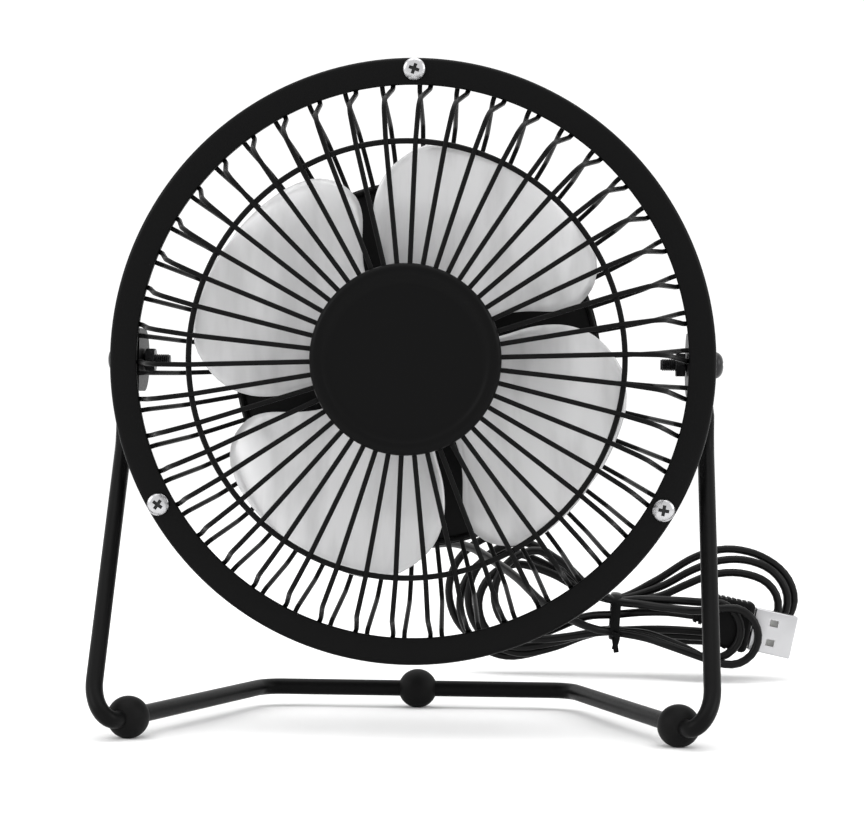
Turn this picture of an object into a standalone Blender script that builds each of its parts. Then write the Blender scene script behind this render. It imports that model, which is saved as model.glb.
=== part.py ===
"""Desk fan of the 4-inch class: a caged metal head that tilts in a bent-rod stand, with a USB cord.

Metres, +Z up. The fan blows towards -Y, and +X is on the right in a front view. The origin lies
on the surface that the fan stands on, under the middle of the stand.
Head pieces are built about the head's own line: x and z from its centre, y back from the ring's face.
"""

import math

import bmesh
import bpy
from mathutils import Matrix, Vector

MM = 0.001
GAP = 0.3 * MM

# Driving dimensions of the stand
ROD_R = 2.0 * MM
FOOT_R = 5.0 * MM
FOOT_Z = 4.6 * MM
FRONT_FOOT_X = 62.3 * MM
FRONT_FOOT_Y = -32.0 * MM
REAR_FOOT_Y = 37.0 * MM
REAR_CORNER_X = 38.6 * MM
REAR_CORNER_R = 7.0 * MM
EYE_X = 69.4 * MM
LEG_X = 70.0 * MM
EYE_R = 4.5 * MM

# Driving dimensions of the head
HEAD_Z = 86.5 * MM
RING_Y = -9.0 * MM
PIVOT_DEPTH = 13.5 * MM
RING_R = 71.5 * MM
RING_INNER_R = 65.0 * MM
WIRE = 1.2 * MM
WIRE_COUNT = 46
GUARD_FRONT = -24.0 * MM
GUARD_REAR = 27.6 * MM
MIDDLE_RING_R = 49.4 * MM
PLATE_R = 45.1 * MM
BLADE_Y = -2.0 * MM
CAP_R = 21.7 * MM
SCREW_CIRCLE_R = 68.6 * MM
COVER_R = 24.0 * MM
COVER_REAR = 46.2 * MM
RING_STEPS = 60
TURN_STEPS = 20
SCREW_STEPS = 12

# Driving dimensions of the cord
CORD_R = 1.15 * MM
EXIT = Vector((-3.0, 29.0, 50.2)) * MM
HANK_Y = 121.0 * MM
HANK_DEPTH = 13.0 * MM

# Colour, metallic and roughness of each finish
FINISHES = {
    "black_paint": ((0.012, 0.012, 0.013), 0.0, 0.38),
    "black_plastic": ((0.014, 0.014, 0.015), 0.0, 0.45),
    "black_rubber": ((0.016, 0.016, 0.016), 0.0, 0.75),
    "cord_jacket": ((0.015, 0.015, 0.016), 0.0, 0.5),
    "aluminium": ((0.80, 0.80, 0.81), 1.0, 0.38),
    "zinc_steel": ((0.72, 0.72, 0.72), 1.0, 0.25),
    "black_steel": ((0.03, 0.03, 0.032), 1.0, 0.4),
    "brass": ((0.70, 0.52, 0.25), 1.0, 0.35),
    "copper": ((0.60, 0.30, 0.18), 1.0, 0.4),
    "white_plastic": ((0.80, 0.80, 0.78), 0.0, 0.4),
}


def clear_scene():
    for old in list(bpy.data.objects):
        bpy.data.objects.remove(old, do_unlink=True)


def material(name):
    found = bpy.data.materials.get(name)
    if found:
        return found
    colour, metallic, roughness = FINISHES[name]
    made = bpy.data.materials.new(name)
    made.use_nodes = True
    shader = made.node_tree.nodes["Principled BSDF"]
    shader.inputs["Base Color"].default_value = (*colour, 1.0)
    shader.inputs["Metallic"].default_value = metallic
    shader.inputs["Roughness"].default_value = roughness
    made.diffuse_color = (*colour, 1.0)
    return made


def empty(name, location, parent=None):
    made = bpy.data.objects.new(name, None)
    made.location = location
    made.parent = parent
    bpy.context.collection.objects.link(made)
    return made


def add(name, shape, finish, parent=None, location=(0.0, 0.0, 0.0), smooth=35.0):
    """Turn a bmesh into a named object with its finish."""
    bmesh.ops.recalc_face_normals(shape, faces=shape.faces)
    mesh = bpy.data.meshes.new(name)
    shape.to_mesh(mesh)
    shape.free()
    mesh.shade_smooth()
    mesh.set_sharp_from_angle(angle=math.radians(smooth))
    mesh.materials.append(material(finish))
    made = bpy.data.objects.new(name, mesh)
    made.location = location
    made.parent = parent
    bpy.context.collection.objects.link(made)
    return made


def cut(target, name, shape, parent=None, location=(0.0, 0.0, 0.0), operation="DIFFERENCE"):
    """Cut a shape out of an object, or weld it on, and keep the shape as a hidden guide."""
    guide = add(name, shape, "black_steel", parent, location)
    guide.hide_render = True
    guide.display_type = "WIRE"
    step = target.modifiers.new(name, "BOOLEAN")
    step.operation = operation
    step.solver = "EXACT"
    step.object = guide
    return target


def turned(profile, steps=TURN_STEPS):
    """Turn a closed (radius, y) outline once about the Y axis."""
    shape = bmesh.new()
    points = [shape.verts.new((radius, y, 0.0)) for radius, y in profile]
    edges = [shape.edges.new(pair) for pair in zip(points, points[1:])]
    if profile[0][0] > 0.0 or profile[-1][0] > 0.0:
        edges.append(shape.edges.new((points[-1], points[0])))
    bmesh.ops.spin(shape, geom=points + edges, cent=(0, 0, 0), axis=(0, 1, 0),
                   angle=math.tau, steps=steps, use_merge=True)
    bmesh.ops.remove_doubles(shape, verts=shape.verts, dist=1e-7)
    return shape


def cylinder(radius, low, high, steps=TURN_STEPS):
    return turned([(0.0, low), (radius, low), (radius, high), (0.0, high)], steps)


def along_x(shape, outward=1.0):
    """Lay a shape that was turned about Y along X, its -Y end facing outward."""
    spin = Matrix.Rotation(outward * math.radians(90.0), 4, "Z")
    bmesh.ops.transform(shape, matrix=spin, verts=shape.verts)
    return shape


def moved(shape, offset):
    bmesh.ops.translate(shape, vec=offset, verts=shape.verts)
    return shape


def box(low, high, bevel=0.0):
    """A box from its lowest to its highest corner, its edges broken by a bevel."""
    shape = bmesh.new()
    low, high = Vector(low), Vector(high)
    bmesh.ops.create_cube(shape, size=1.0)
    bmesh.ops.scale(shape, vec=high - low, verts=shape.verts)
    bmesh.ops.translate(shape, vec=(low + high) / 2.0, verts=shape.verts)
    if bevel:
        bmesh.ops.bevel(shape, geom=shape.edges, offset=bevel, segments=1, affect="EDGES")
    return shape


def extruded(outline, thickness):
    """Raise a closed outline of points by a thickness vector."""
    shape = bmesh.new()
    face = shape.faces.new([shape.verts.new(point) for point in outline])
    raised = bmesh.ops.extrude_face_region(shape, geom=[face])
    tops = [item for item in raised["geom"] if isinstance(item, bmesh.types.BMVert)]
    bmesh.ops.translate(shape, vec=thickness, verts=tops)
    return shape


def join(*shapes):
    """Gather closed shapes that don't meet into one bmesh."""
    whole = bmesh.new()
    for shape in shapes:
        mesh = bpy.data.meshes.new("part")
        shape.to_mesh(mesh)
        shape.free()
        whole.from_mesh(mesh)
        bpy.data.meshes.remove(mesh)
    return whole


def polar(radius, degrees, y=0.0):
    turn = math.radians(degrees)
    return Vector((radius * math.cos(turn), y, radius * math.sin(turn)))


def bezier(start, handle_a, handle_b, end, steps):
    """Points of a cubic curve, without its first one."""
    points = []
    for step in range(1, steps + 1):
        t = step / steps
        u = 1.0 - t
        points.append(u ** 3 * start + 3 * u * u * t * handle_a + 3 * u * t * t * handle_b + t ** 3 * end)
    return points


# ---------------------------------------------------------------- stand

def rod_path():
    """The centre line of half the rod, from the eye at the top to the middle of the rear bar.

    Each entry is a point and the section's half sizes: across the eye's thin way, and its wide way.
    """
    round_section = (ROD_R, ROD_R)
    thin = 1.2 * MM
    eye = Vector((EYE_X, RING_Y + PIVOT_DEPTH, HEAD_Z))
    path = []
    for degrees in (76.0, 50.0, 25.0, 0.0, -28.0):
        rise = EYE_R * math.sin(math.radians(degrees))
        width = EYE_R * math.cos(math.radians(degrees))
        path.append((eye + Vector((0.0, 0.0, rise)), (thin, width)))
    shoulder = ((5.0, 0.1, 1.35, 3.1), (8.5, 0.4, 1.7, 2.3), (12.0, 0.6, 2.0, 2.0))
    for drop, out, thin_half, wide_half in shoulder:
        path.append((eye + Vector((out, 0.0, -drop)) * MM, (thin_half * MM, wide_half * MM)))
    knee = Vector((LEG_X, eye.y, eye.z - 16.5 * MM))
    lean = Vector((69.9, 3.2, 65.5)) * MM
    leg_end = Vector((69.6, -34.5, 13.5)) * MM
    path += [(knee, round_section), (lean, round_section), (leg_end, round_section)]
    foot = Vector((FRONT_FOOT_X, FRONT_FOOT_Y, FOOT_Z))
    corner = Vector((REAR_CORNER_X, REAR_FOOT_Y, FOOT_Z))
    arm = (corner - foot).normalized()
    down = (leg_end - lean).normalized()
    entry = foot - arm * 5.4 * MM
    bend = bezier(leg_end, leg_end + down * 7.0 * MM, entry - arm * 5.0 * MM, entry, 8)
    path += [(point, round_section) for point in bend]
    path.append((foot, round_section))
    path.append((foot + arm * 9.0 * MM, round_section))
    across = Vector((-1.0, 0.0, 0.0))
    half_turn = arm.angle(across) / 2.0
    tangent = REAR_CORNER_R * math.tan(half_turn)
    path.append((corner - arm * tangent, round_section))
    handle = tangent * 0.62
    fillet = bezier(corner - arm * tangent, corner - arm * (tangent - handle),
                    corner + across * (tangent - handle), corner + across * tangent, 5)
    path += [(point, round_section) for point in fillet]
    path.append((Vector((8.0 * MM, REAR_FOOT_Y, FOOT_Z)), round_section))
    path.append((Vector((0.0, REAR_FOOT_Y, FOOT_Z)), round_section))
    return path


def sweep(path, sides=10, grow=0.0, close_end=True):
    """Skin a tube through a path of points and sections, kept straight by carrying one frame along."""
    shape = bmesh.new()
    points = [point for point, section in path]
    side = Vector((1.0, 0.0, 0.0))
    rows = []
    for index, (point, section) in enumerate(path):
        before = points[max(index - 1, 0)]
        after = points[min(index + 1, len(points) - 1)]
        ahead = (after - before).normalized()
        side = (side - ahead * side.dot(ahead)).normalized()
        if index == len(points) - 1 and not close_end:
            ahead = Vector((-1.0, 0.0, 0.0))
            side = Vector((0.0, side.y, side.z)).normalized()
        other = ahead.cross(side)
        row = []
        for corner in range(sides):
            turn = math.tau * (corner + 0.5) / sides
            offset = side * (section[0] + grow) * math.cos(turn) + other * (section[1] + grow) * math.sin(turn)
            row.append(shape.verts.new(point + offset))
        rows.append(row)
    for low, high in zip(rows, rows[1:]):
        for corner in range(sides):
            following = (corner + 1) % sides
            shape.faces.new((low[corner], low[following], high[following], high[corner]))
    shape.faces.new(rows[0])
    if close_end:
        shape.faces.new(rows[-1])
    return shape


def make_stand():
    path = rod_path()
    stand = add("stand_frame", sweep(path, close_end=False), "black_paint")
    mirror = stand.modifiers.new("other_half", "MIRROR")
    mirror.use_axis = (True, False, False)
    mirror.use_mirror_merge = True
    mirror.merge_threshold = 0.00005
    bore = moved(along_x(cylinder(1.8 * MM, -80.0 * MM, 80.0 * MM, 12)),
                 (0.0, RING_Y + PIVOT_DEPTH, HEAD_Z))
    cut(stand, "eye_bore", bore)
    foot = Vector((FRONT_FOOT_X, FRONT_FOOT_Y, FOOT_Z))
    near_foot = [entry for entry in path if (entry[0] - foot).length < 10.0 * MM]
    for name, side in (("foot_front_left", -1.0), ("foot_front_right", 1.0)):
        bore = sweep(near_foot, grow=GAP)
        if side < 0.0:
            bmesh.ops.scale(bore, vec=(-1.0, 1.0, 1.0), verts=bore.verts)
        make_foot(name, Vector((side * FRONT_FOOT_X, FRONT_FOOT_Y, FOOT_Z)), bore)
    bore = moved(along_x(cylinder(ROD_R + GAP, -9.0 * MM, 9.0 * MM, 12)), (0.0, REAR_FOOT_Y, FOOT_Z))
    make_foot("foot_rear", Vector((0.0, REAR_FOOT_Y, FOOT_Z)), bore)


def make_foot(name, centre, bore):
    """A rubber ball threaded on the rod, with the small flat that it stands on."""
    shape = bmesh.new()
    bmesh.ops.create_uvsphere(shape, u_segments=18, v_segments=11, radius=FOOT_R)
    bmesh.ops.translate(shape, vec=centre, verts=shape.verts)
    everything = shape.verts[:] + shape.edges[:] + shape.faces[:]
    sliced = bmesh.ops.bisect_plane(shape, geom=everything, plane_co=(0, 0, 0), plane_no=(0, 0, -1),
                                    clear_outer=True)
    rim = [item for item in sliced["geom_cut"] if isinstance(item, bmesh.types.BMEdge)]
    bmesh.ops.contextual_create(shape, geom=rim)
    foot = add(name, shape, "black_rubber")
    cut(foot, name + "_bore", bore)


# ---------------------------------------------------------------- guards and ring

def wire_sections(path, half):
    """The two (radius, y) corners of a wire at each point of its path, mitred where it bends."""
    sections = []
    for index, (radius, y) in enumerate(path):
        before = path[max(index - 1, 0)]
        after = path[min(index + 1, len(path) - 1)]
        ahead_in = Vector((radius - before[0], y - before[1])) if index else None
        ahead_out = Vector((after[0] - radius, after[1] - y)) if index < len(path) - 1 else None
        ahead_in = (ahead_in or ahead_out).normalized()
        ahead_out = (ahead_out or ahead_in).normalized()
        middle = (ahead_in + ahead_out).normalized()
        reach = half / max(middle.dot(ahead_in), 0.5)
        normal = Vector((-middle.y, middle.x)) * reach
        if index in (0, len(path) - 1):
            normal = Vector((0.0, math.copysign(half, normal.y)))
        sections.append(((radius - normal.x, y - normal.y), (radius + normal.x, y + normal.y)))
    return sections


def guard(path, ring_widths, first_degrees, twists, joined=None):
    """A cage of radial wires between a flat inner ring and a flat outer rim, as one solid.

    The wires run along path from the inner ring to the rim, turned at each of its points by twists
    in degrees. joined is the index of the stretch of each wire that a ring wire crosses.
    """
    shape = bmesh.new()
    half = WIRE / 2.0
    sections = wire_sections(path, half)
    wires = []
    inner_ring = []
    outer_rim = []
    for count in range(WIRE_COUNT):
        degrees = first_degrees + 360.0 * count / WIRE_COUNT
        wire = []
        for twist, (low, high) in zip(twists, sections):
            along = polar(1.0, degrees + twist)
            aside = Vector((-along.z, 0.0, along.x))
            corners = []
            for reach, (radius, y) in ((-half, low), (half, low), (half, high), (-half, high)):
                corners.append(shape.verts.new(along * radius + aside * reach + Vector((0.0, y, 0.0))))
            wire.append(corners)
        wires.append(wire)
        for ring, end, width in ((inner_ring, 0, -ring_widths[0]), (outer_rim, -1, ring_widths[1])):
            section = sections[end]
            along = polar(1.0, degrees + twists[end])
            aside = Vector((-along.z, 0.0, along.x))
            corners = []
            for reach, (radius, y) in ((-half, section[0]), (half, section[0]),
                                       (half, section[1]), (-half, section[1])):
                at = along * (radius + width) + aside * reach + Vector((0.0, y, 0.0))
                corners.append(shape.verts.new(at))
            ring.append(corners)
    for count, wire in enumerate(wires):
        following = wires[(count + 1) % WIRE_COUNT]
        for step, (low, high) in enumerate(zip(wire, wire[1:])):
            for side in range(4):
                if step == joined and side in (1, 3):
                    continue
                shape.faces.new((low[side], low[(side + 1) % 4], high[(side + 1) % 4], high[side]))
        if joined is not None:
            near = (wire[joined][1], wire[joined][2], wire[joined + 1][2], wire[joined + 1][1])
            far = (following[joined][0], following[joined][3],
                   following[joined + 1][3], following[joined + 1][0])
            for side in range(4):
                shape.faces.new((near[side], near[(side + 1) % 4], far[(side + 1) % 4], far[side]))
        for ring, end in ((inner_ring, 0), (outer_rim, -1)):
            edge = ring[count]
            next_edge = ring[(count + 1) % WIRE_COUNT]
            root = wire[end]
            next_root = following[end]
            for low, high in ((0, 1), (3, 2)):
                shape.faces.new((edge[low], edge[high], root[high], root[low]))
                shape.faces.new((edge[high], next_edge[low], next_root[low], root[high]))
            shape.faces.new((edge[0], edge[1], edge[2], edge[3]))
            shape.faces.new((edge[1], next_edge[0], next_edge[3], edge[2]))
            shape.faces.new((root[1], next_root[0], next_root[3], root[2]))
    return shape


def make_guards(head):
    half_ring = 0.65 * MM
    front = [(20.0 * MM, GUARD_FRONT), (MIDDLE_RING_R - half_ring, GUARD_FRONT),
             (MIDDLE_RING_R + half_ring, GUARD_FRONT), (57.0 * MM, GUARD_FRONT),
             (59.3 * MM, -22.4 * MM), (64.1 * MM, 1.9 * MM), (65.9 * MM, 1.9 * MM)]
    twists = (0.0, 0.0, 0.0, -0.3, -0.5, -1.2, -1.2)
    add("front_guard", guard(front, (2.5 * MM, WIRE), 1.9, twists, joined=1), "black_paint", **head)
    rear = [(45.4 * MM, GUARD_REAR), (52.5 * MM, 26.8 * MM), (58.2 * MM, 23.2 * MM),
            (63.9 * MM, 3.5 * MM), (65.9 * MM, 3.5 * MM)]
    add("rear_guard", guard(rear, (2.0 * MM, WIRE), 2.9, (0.0,) * 5), "black_paint", **head)


def make_ring(head):
    """The stamped ring: a channel in front, and a flat ring with two ears that closes it behind."""
    inner = RING_INNER_R
    wall = 0.8 * MM
    back = 5.2 * MM
    channel = [(inner, 0.3 * MM), (inner + 0.4 * MM, 0.0), (RING_R - 1.1 * MM, 0.0),
               (RING_R - 0.3 * MM, 0.35 * MM), (RING_R, 1.1 * MM), (RING_R, back),
               (RING_R - wall, back), (RING_R - wall, 0.9 * MM), (inner, 0.9 * MM)]
    front = add("front_ring", turned(channel, RING_STEPS), "black_paint", **head)
    plate_front = 4.4 * MM
    plate_back = 5.4 * MM
    plate_inner = 65.6 * MM
    plate_outer = RING_R - wall - GAP
    plate = [(plate_inner, plate_front), (plate_outer, plate_front),
             (plate_outer, plate_back), (plate_inner, plate_back)]
    rear = add("rear_ring", turned(plate, RING_STEPS), "black_paint", **head)
    for name, side in (("ear_left", -1.0), ("ear_right", 1.0)):
        half = 7.5 * MM
        outline = [Vector((side * 65.1 * MM, 4.7 * MM, -half)), Vector((side * 65.1 * MM, 4.7 * MM, half))]
        for step in range(9):
            turn = math.pi * step / 8
            outline.append(Vector((side * 65.1 * MM, PIVOT_DEPTH + half * math.sin(turn),
                                   half * math.cos(turn))))
        cut(rear, name, extruded(outline, (side * 1.2 * MM, 0.0, 0.0)), operation="UNION", **head)
    bore = moved(along_x(cylinder(1.8 * MM, -70.0 * MM, 70.0 * MM, 12)), (0.0, PIVOT_DEPTH, 0.0))
    cut(rear, "ear_bore", bore, **head)
    holes = [moved(cylinder(1.5 * MM, -1.0 * MM, 7.0 * MM, 10), polar(SCREW_CIRCLE_R, degrees))
             for degrees in (90.0, 210.0, 330.0)]
    bores = join(*holes)
    cut(front, "front_ring_bores", bores.copy(), **head)
    cut(rear, "rear_ring_bores", bores, **head)
    for name, degrees in (("top", 90.0), ("left", 210.0), ("right", 330.0)):
        place = dict(parent=head["parent"], location=Vector(head["location"]) + polar(SCREW_CIRCLE_R, degrees))
        make_screw("ring_screw_" + name, 2.65 * MM, 1.35 * MM, 1.2 * MM, 8.6 * MM, "zinc_steel", place)
        make_nut("ring_nut_" + name, 2.8 * MM, 1.5 * MM, plate_back + GAP, 1.8 * MM, "zinc_steel", place)


def screw_profile(head_r, head_height, shank_r, length):
    """A pan head whose underside is 0.3 mm in front of y = 0, with a plain shank behind it."""
    under = -GAP
    return [(0.0, under - head_height), (head_r * 0.45, under - head_height),
            (head_r * 0.85, under - head_height * 0.72), (head_r, under - head_height * 0.3),
            (head_r, under), (shank_r, under), (shank_r, length - 0.4 * MM),
            (shank_r * 0.65, length), (0.0, length)]


def cross_recess(head_r, front):
    """The two crossed slots of a screw head, as one cutter."""
    arm = head_r * 0.5
    slot = head_r * 0.13
    deep = 0.8 * MM
    outline = []
    for quarter in range(4):
        turn = Matrix.Rotation(math.radians(90.0 * quarter), 3, "Y")
        for x, z in ((slot, slot), (slot, arm), (-slot, arm)):
            outline.append(turn @ Vector((x, front - deep, z)))
    order = [point for point in outline]
    order.sort(key=lambda point: math.atan2(point.z, point.x))
    return extruded(order, (0.0, 2.0 * deep, 0.0))


def make_screw(name, head_r, head_height, shank_r, length, finish, place, along=None):
    shape = turned(screw_profile(head_r, head_height, shank_r, length), SCREW_STEPS)
    recess = cross_recess(head_r, -GAP - head_height)
    if along is not None:
        along_x(shape, along)
        along_x(recess, along)
    screw = add(name, shape, finish, **place)
    cut(screw, name + "_recess", recess, **place)
    return screw


def make_nut(name, corner_r, hole_r, start, thickness, finish, place, along=None):
    """A hexagon nut with a plain bore."""
    bore = cylinder(hole_r, start - MM, start + thickness + MM, 12)
    solid = cylinder(corner_r, start, start + thickness, 6)
    if along is not None:
        along_x(solid, along)
        along_x(bore, along)
    nut = add(name, solid, finish, **place)
    cut(nut, name + "_bore", bore, **place)


def make_cap(head):
    """The plain round cap over the wires' inner ring, and the disc that holds it from behind."""
    rim = GUARD_FRONT - WIRE / 2.0
    front = rim - 2.4 * MM
    profile = [(0.0, rim - 1.5 * MM), (17.9 * MM, rim - 1.5 * MM), (19.0 * MM, front + 0.15 * MM),
               (20.0 * MM, front), (21.0 * MM, front + 0.3 * MM), (CAP_R, front + 1.0 * MM),
               (CAP_R, rim - GAP), (5.0 * MM, rim - GAP), (5.0 * MM, rim + 2.2 * MM),
               (0.0, rim + 2.2 * MM)]
    add("front_cap", turned(profile, 36), "black_plastic", **head)
    behind = GUARD_FRONT + WIRE / 2.0 + GAP
    clip = [(5.3 * MM, behind), (19.6 * MM, behind), (19.6 * MM, behind + 1.2 * MM),
            (5.3 * MM, behind + 1.2 * MM)]
    add("cap_retainer", turned(clip, 24), "black_plastic", **head)


def opening(inner, outer, start, end, depth):
    """A rounded opening between two radii and two angles, as a cutter through the plate."""
    outline = []
    radius_mid = (inner + outer) / 2.0
    angle_mid = (start + end) / 2.0
    half_r = (outer - inner) / 2.0
    half_a = (end - start) / 2.0
    steps = 24
    for step in range(steps):
        turn = math.tau * step / steps
        wide, tall = math.cos(turn), math.sin(turn)
        squarish = (abs(wide) ** 5 + abs(tall) ** 5) ** (-1.0 / 5.0)
        outline.append(polar(radius_mid + half_r * tall * squarish,
                             angle_mid + half_a * wide * squarish, depth[0]))
    return extruded(outline, (0.0, depth[1] - depth[0], 0.0))


def make_rear_plate(head):
    """The stamped plate in the middle of the rear guard, with four rounded openings."""
    front = GUARD_REAR + WIRE / 2.0 + GAP
    back = front + 1.0 * MM
    plate = add("rear_plate", turned([(4.0 * MM, front), (PLATE_R, front), (PLATE_R, back),
                                      (4.0 * MM, back)], 36), "black_paint", **head)
    openings = [opening(32.3 * MM, 42.3 * MM, 25.0 + 90.0 * quarter, 93.5 + 90.0 * quarter,
                        (front - MM, back + MM)) for quarter in range(4)]
    cut(plate, "plate_openings", join(*openings), **head)
    return back


# ---------------------------------------------------------------- motor and blades

def blade_rows():
    """The blade's outline as (radius, leading edge, trailing edge) in millimetres and degrees."""
    return ((4.4, -45.0, 45.0), (12.0, -31.0, 44.0), (22.6, -32.8, 43.8), (29.0, -37.0, 43.9),
            (35.3, -41.5, 42.0), (40.0, -42.5, 39.0), (43.5, -41.0, 35.5), (47.0, -37.5, 30.0),
            (49.8, -31.5, 23.5), (50.9, -25.0, 16.0))


def blade_lift(radius, across):
    """How far the sheet stands off the blade's middle plane: the leading edge lies further back."""
    grown = min(max((radius - 12.0) / 25.0, 0.0), 1.0)
    pitch = 9.0 * grown ** 0.8
    camber = 1.6 * grown * (1.0 - across * across)
    return (-pitch * across - camber) * MM


def make_blades(spin):
    """Four petals stamped from one sheet, on a turned hub."""
    shape = bmesh.new()
    across_steps = 8
    inner = []
    rows = blade_rows()
    for petal in range(4):
        middle = 62.0 + 90.0 * petal
        previous = None
        for index, (radius, leading, trailing) in enumerate(rows):
            if index == 0:
                continue
            row = []
            for step in range(across_steps + 1):
                share = step / across_steps
                across = 2.0 * share - 1.0
                degrees = middle + leading + (trailing - leading) * share
                y = BLADE_Y + blade_lift(radius, across)
                row.append(shape.verts.new(polar(radius * MM, degrees, y)))
            if previous:
                for step in range(across_steps):
                    shape.faces.new((previous[step], previous[step + 1], row[step + 1], row[step]))
            else:
                inner += row
            previous = row
    bore_radius = rows[0][0] * MM
    bore = [shape.verts.new(point.co.copy()) for point in inner]
    for vert in bore:
        flat = Vector((vert.co.x, 0.0, vert.co.z)).normalized() * bore_radius
        vert.co = Vector((flat.x, BLADE_Y, flat.z))
    count = len(inner)
    for step in range(count):
        following = (step + 1) % count
        shape.faces.new((bore[step], bore[following], inner[following], inner[step]))
    blades = add("fan_blades", shape, "aluminium", **spin)
    sheet = blades.modifiers.new("sheet", "SOLIDIFY")
    sheet.thickness = 0.8 * MM
    sheet.offset = 0.0
    half_sheet = 0.4 * MM + GAP
    hub = [(1.3 * MM, -5.2 * MM), (5.0 * MM, -5.2 * MM), (7.0 * MM, -4.0 * MM),
           (7.0 * MM, BLADE_Y - half_sheet), (4.0 * MM, BLADE_Y - half_sheet),
           (4.0 * MM, BLADE_Y + half_sheet), (7.0 * MM, BLADE_Y + half_sheet),
           (6.0 * MM, 5.5 * MM), (1.3 * MM, 5.5 * MM)]
    add("blade_hub", turned(hub), "black_plastic", **spin)
    shaft = [(0.0, -7.5 * MM), (0.7 * MM, -7.5 * MM), (1.0 * MM, -7.1 * MM), (1.0 * MM, 27.2 * MM),
             (0.0, 27.2 * MM)]
    add("motor_shaft", turned(shaft, 12), "zinc_steel", **spin)
    rotor = [(1.3 * MM, 12.5 * MM), (10.2 * MM, 12.5 * MM), (10.2 * MM, 22.0 * MM),
             (5.5 * MM, 22.0 * MM), (5.5 * MM, 24.0 * MM), (1.3 * MM, 24.0 * MM)]
    add("motor_rotor", turned(rotor), "copper", **spin)


def make_motor(head):
    """The small brushed motor in front of the rear plate: can, magnet, end cap and two bushes."""
    can_r = 14.0 * MM
    front = 8.5 * MM
    back = 27.9 * MM
    wall = 1.0 * MM
    can = [(3.5 * MM, front), (12.8 * MM, front), (can_r, front + 1.2 * MM), (can_r, back),
           (can_r - wall, back), (can_r - wall, front + 1.6 * MM), (3.5 * MM, front + 1.6 * MM)]
    add("motor_can", turned(can, 24), "zinc_steel", **head)
    magnet = [(10.8 * MM, 12.5 * MM), (12.7 * MM, 12.5 * MM), (12.7 * MM, 22.0 * MM),
              (10.8 * MM, 22.0 * MM)]
    add("motor_magnet", turned(magnet), "black_steel", **head)
    end_cap = [(3.5 * MM, 25.2 * MM), (12.7 * MM, 25.2 * MM), (12.7 * MM, 27.7 * MM),
               (3.5 * MM, 27.7 * MM)]
    add("motor_end_cap", turned(end_cap), "white_plastic", **head)
    for name, start in (("bush_front", 7.6 * MM), ("bush_rear", 25.0 * MM)):
        bush = [(1.3 * MM, start), (3.2 * MM, start), (3.2 * MM, start + 2.6 * MM),
                (1.3 * MM, start + 2.6 * MM)]
        add(name, turned(bush, 16), "brass", **head)


# ---------------------------------------------------------------- rear cover, switch and pivots

def make_rear_cover(head, plate_back):
    """The moulded cup behind the plate that holds the wiring, the switch and the cord's relief."""
    front = plate_back + GAP
    wall = 1.6 * MM
    back = COVER_REAR
    profile = [(0.0, back - wall), (COVER_R - 3.2 * MM, back - wall), (COVER_R - wall, back - 3.2 * MM),
               (COVER_R - wall, front), (COVER_R, front), (COVER_R, back - 3.0 * MM),
               (COVER_R - 0.9 * MM, back - 0.9 * MM), (COVER_R - 3.0 * MM, back), (0.0, back)]
    made = add("rear_cover", turned(profile, 32), "black_plastic", **head)
    well = box((-4.7 * MM, back - 8.0 * MM, -6.9 * MM), (4.7 * MM, back + 2.0 * MM, 6.9 * MM))
    cut(made, "switch_opening", well, **head)
    screw_x = 15.0 * MM
    bores = []
    for side in (-1.0, 1.0):
        bore = cylinder(1.5 * MM, back - 4.0 * MM, back + 2.0 * MM, 10)
        bmesh.ops.transform(bore, matrix=Matrix.Rotation(0.2, 4, "Y"), verts=bore.verts)
        bores.append(moved(bore, (side * screw_x, 0.0, 0.0)))
    cut(made, "cover_screw_bores", join(*bores), **head)
    relief_hole = cylinder(2.5 * MM, -2.0 * MM, 8.0 * MM, 12)
    bmesh.ops.transform(relief_hole, matrix=Matrix.Rotation(math.radians(-90.0), 4, "X"),
                        verts=relief_hole.verts)
    exit_y = EXIT.y - RING_Y
    cut(made, "relief_hole", moved(relief_hole, (EXIT.x, exit_y, -COVER_R + 4.0 * MM)), **head)
    for name, side in (("cover_screw_left", -1.0), ("cover_screw_right", 1.0)):
        shape = turned(screw_profile(2.6 * MM, 1.3 * MM, 1.2 * MM, 11.0 * MM), SCREW_STEPS)
        recess = cross_recess(2.6 * MM, -GAP - 1.3 * MM)
        turn = Matrix.Rotation(math.radians(180.0), 4, "Z")
        bmesh.ops.transform(shape, matrix=turn, verts=shape.verts)
        bmesh.ops.transform(recess, matrix=turn, verts=recess.verts)
        offset = (side * screw_x, back, 0.0)
        screw = add(name, moved(shape, offset), "zinc_steel", **head)
        cut(screw, name + "_recess", moved(recess, offset), **head)
    make_relief(head)


def make_relief(head):
    """The tapered rubber relief that the cord leaves through, pointing down under the cover."""
    wall = HEAD_Z - COVER_R
    end = EXIT.z + GAP
    profile = [(0.0, -wall - 4.2 * MM), (3.3 * MM, -wall - 4.2 * MM), (3.3 * MM, -wall - 3.2 * MM),
               (2.2 * MM, -wall - 3.2 * MM), (2.2 * MM, -wall + 0.4 * MM), (2.9 * MM, -wall + 0.5 * MM),
               (2.9 * MM, -wall + 2.0 * MM), (1.7 * MM, -end), (0.0, -end)]
    shape = turned(profile, 14)
    bmesh.ops.transform(shape, matrix=Matrix.Rotation(math.radians(-90.0), 4, "X"), verts=shape.verts)
    bmesh.ops.translate(shape, vec=(EXIT.x, EXIT.y - RING_Y, -HEAD_Z), verts=shape.verts)
    add("strain_relief", shape, "black_rubber", **head)


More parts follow.
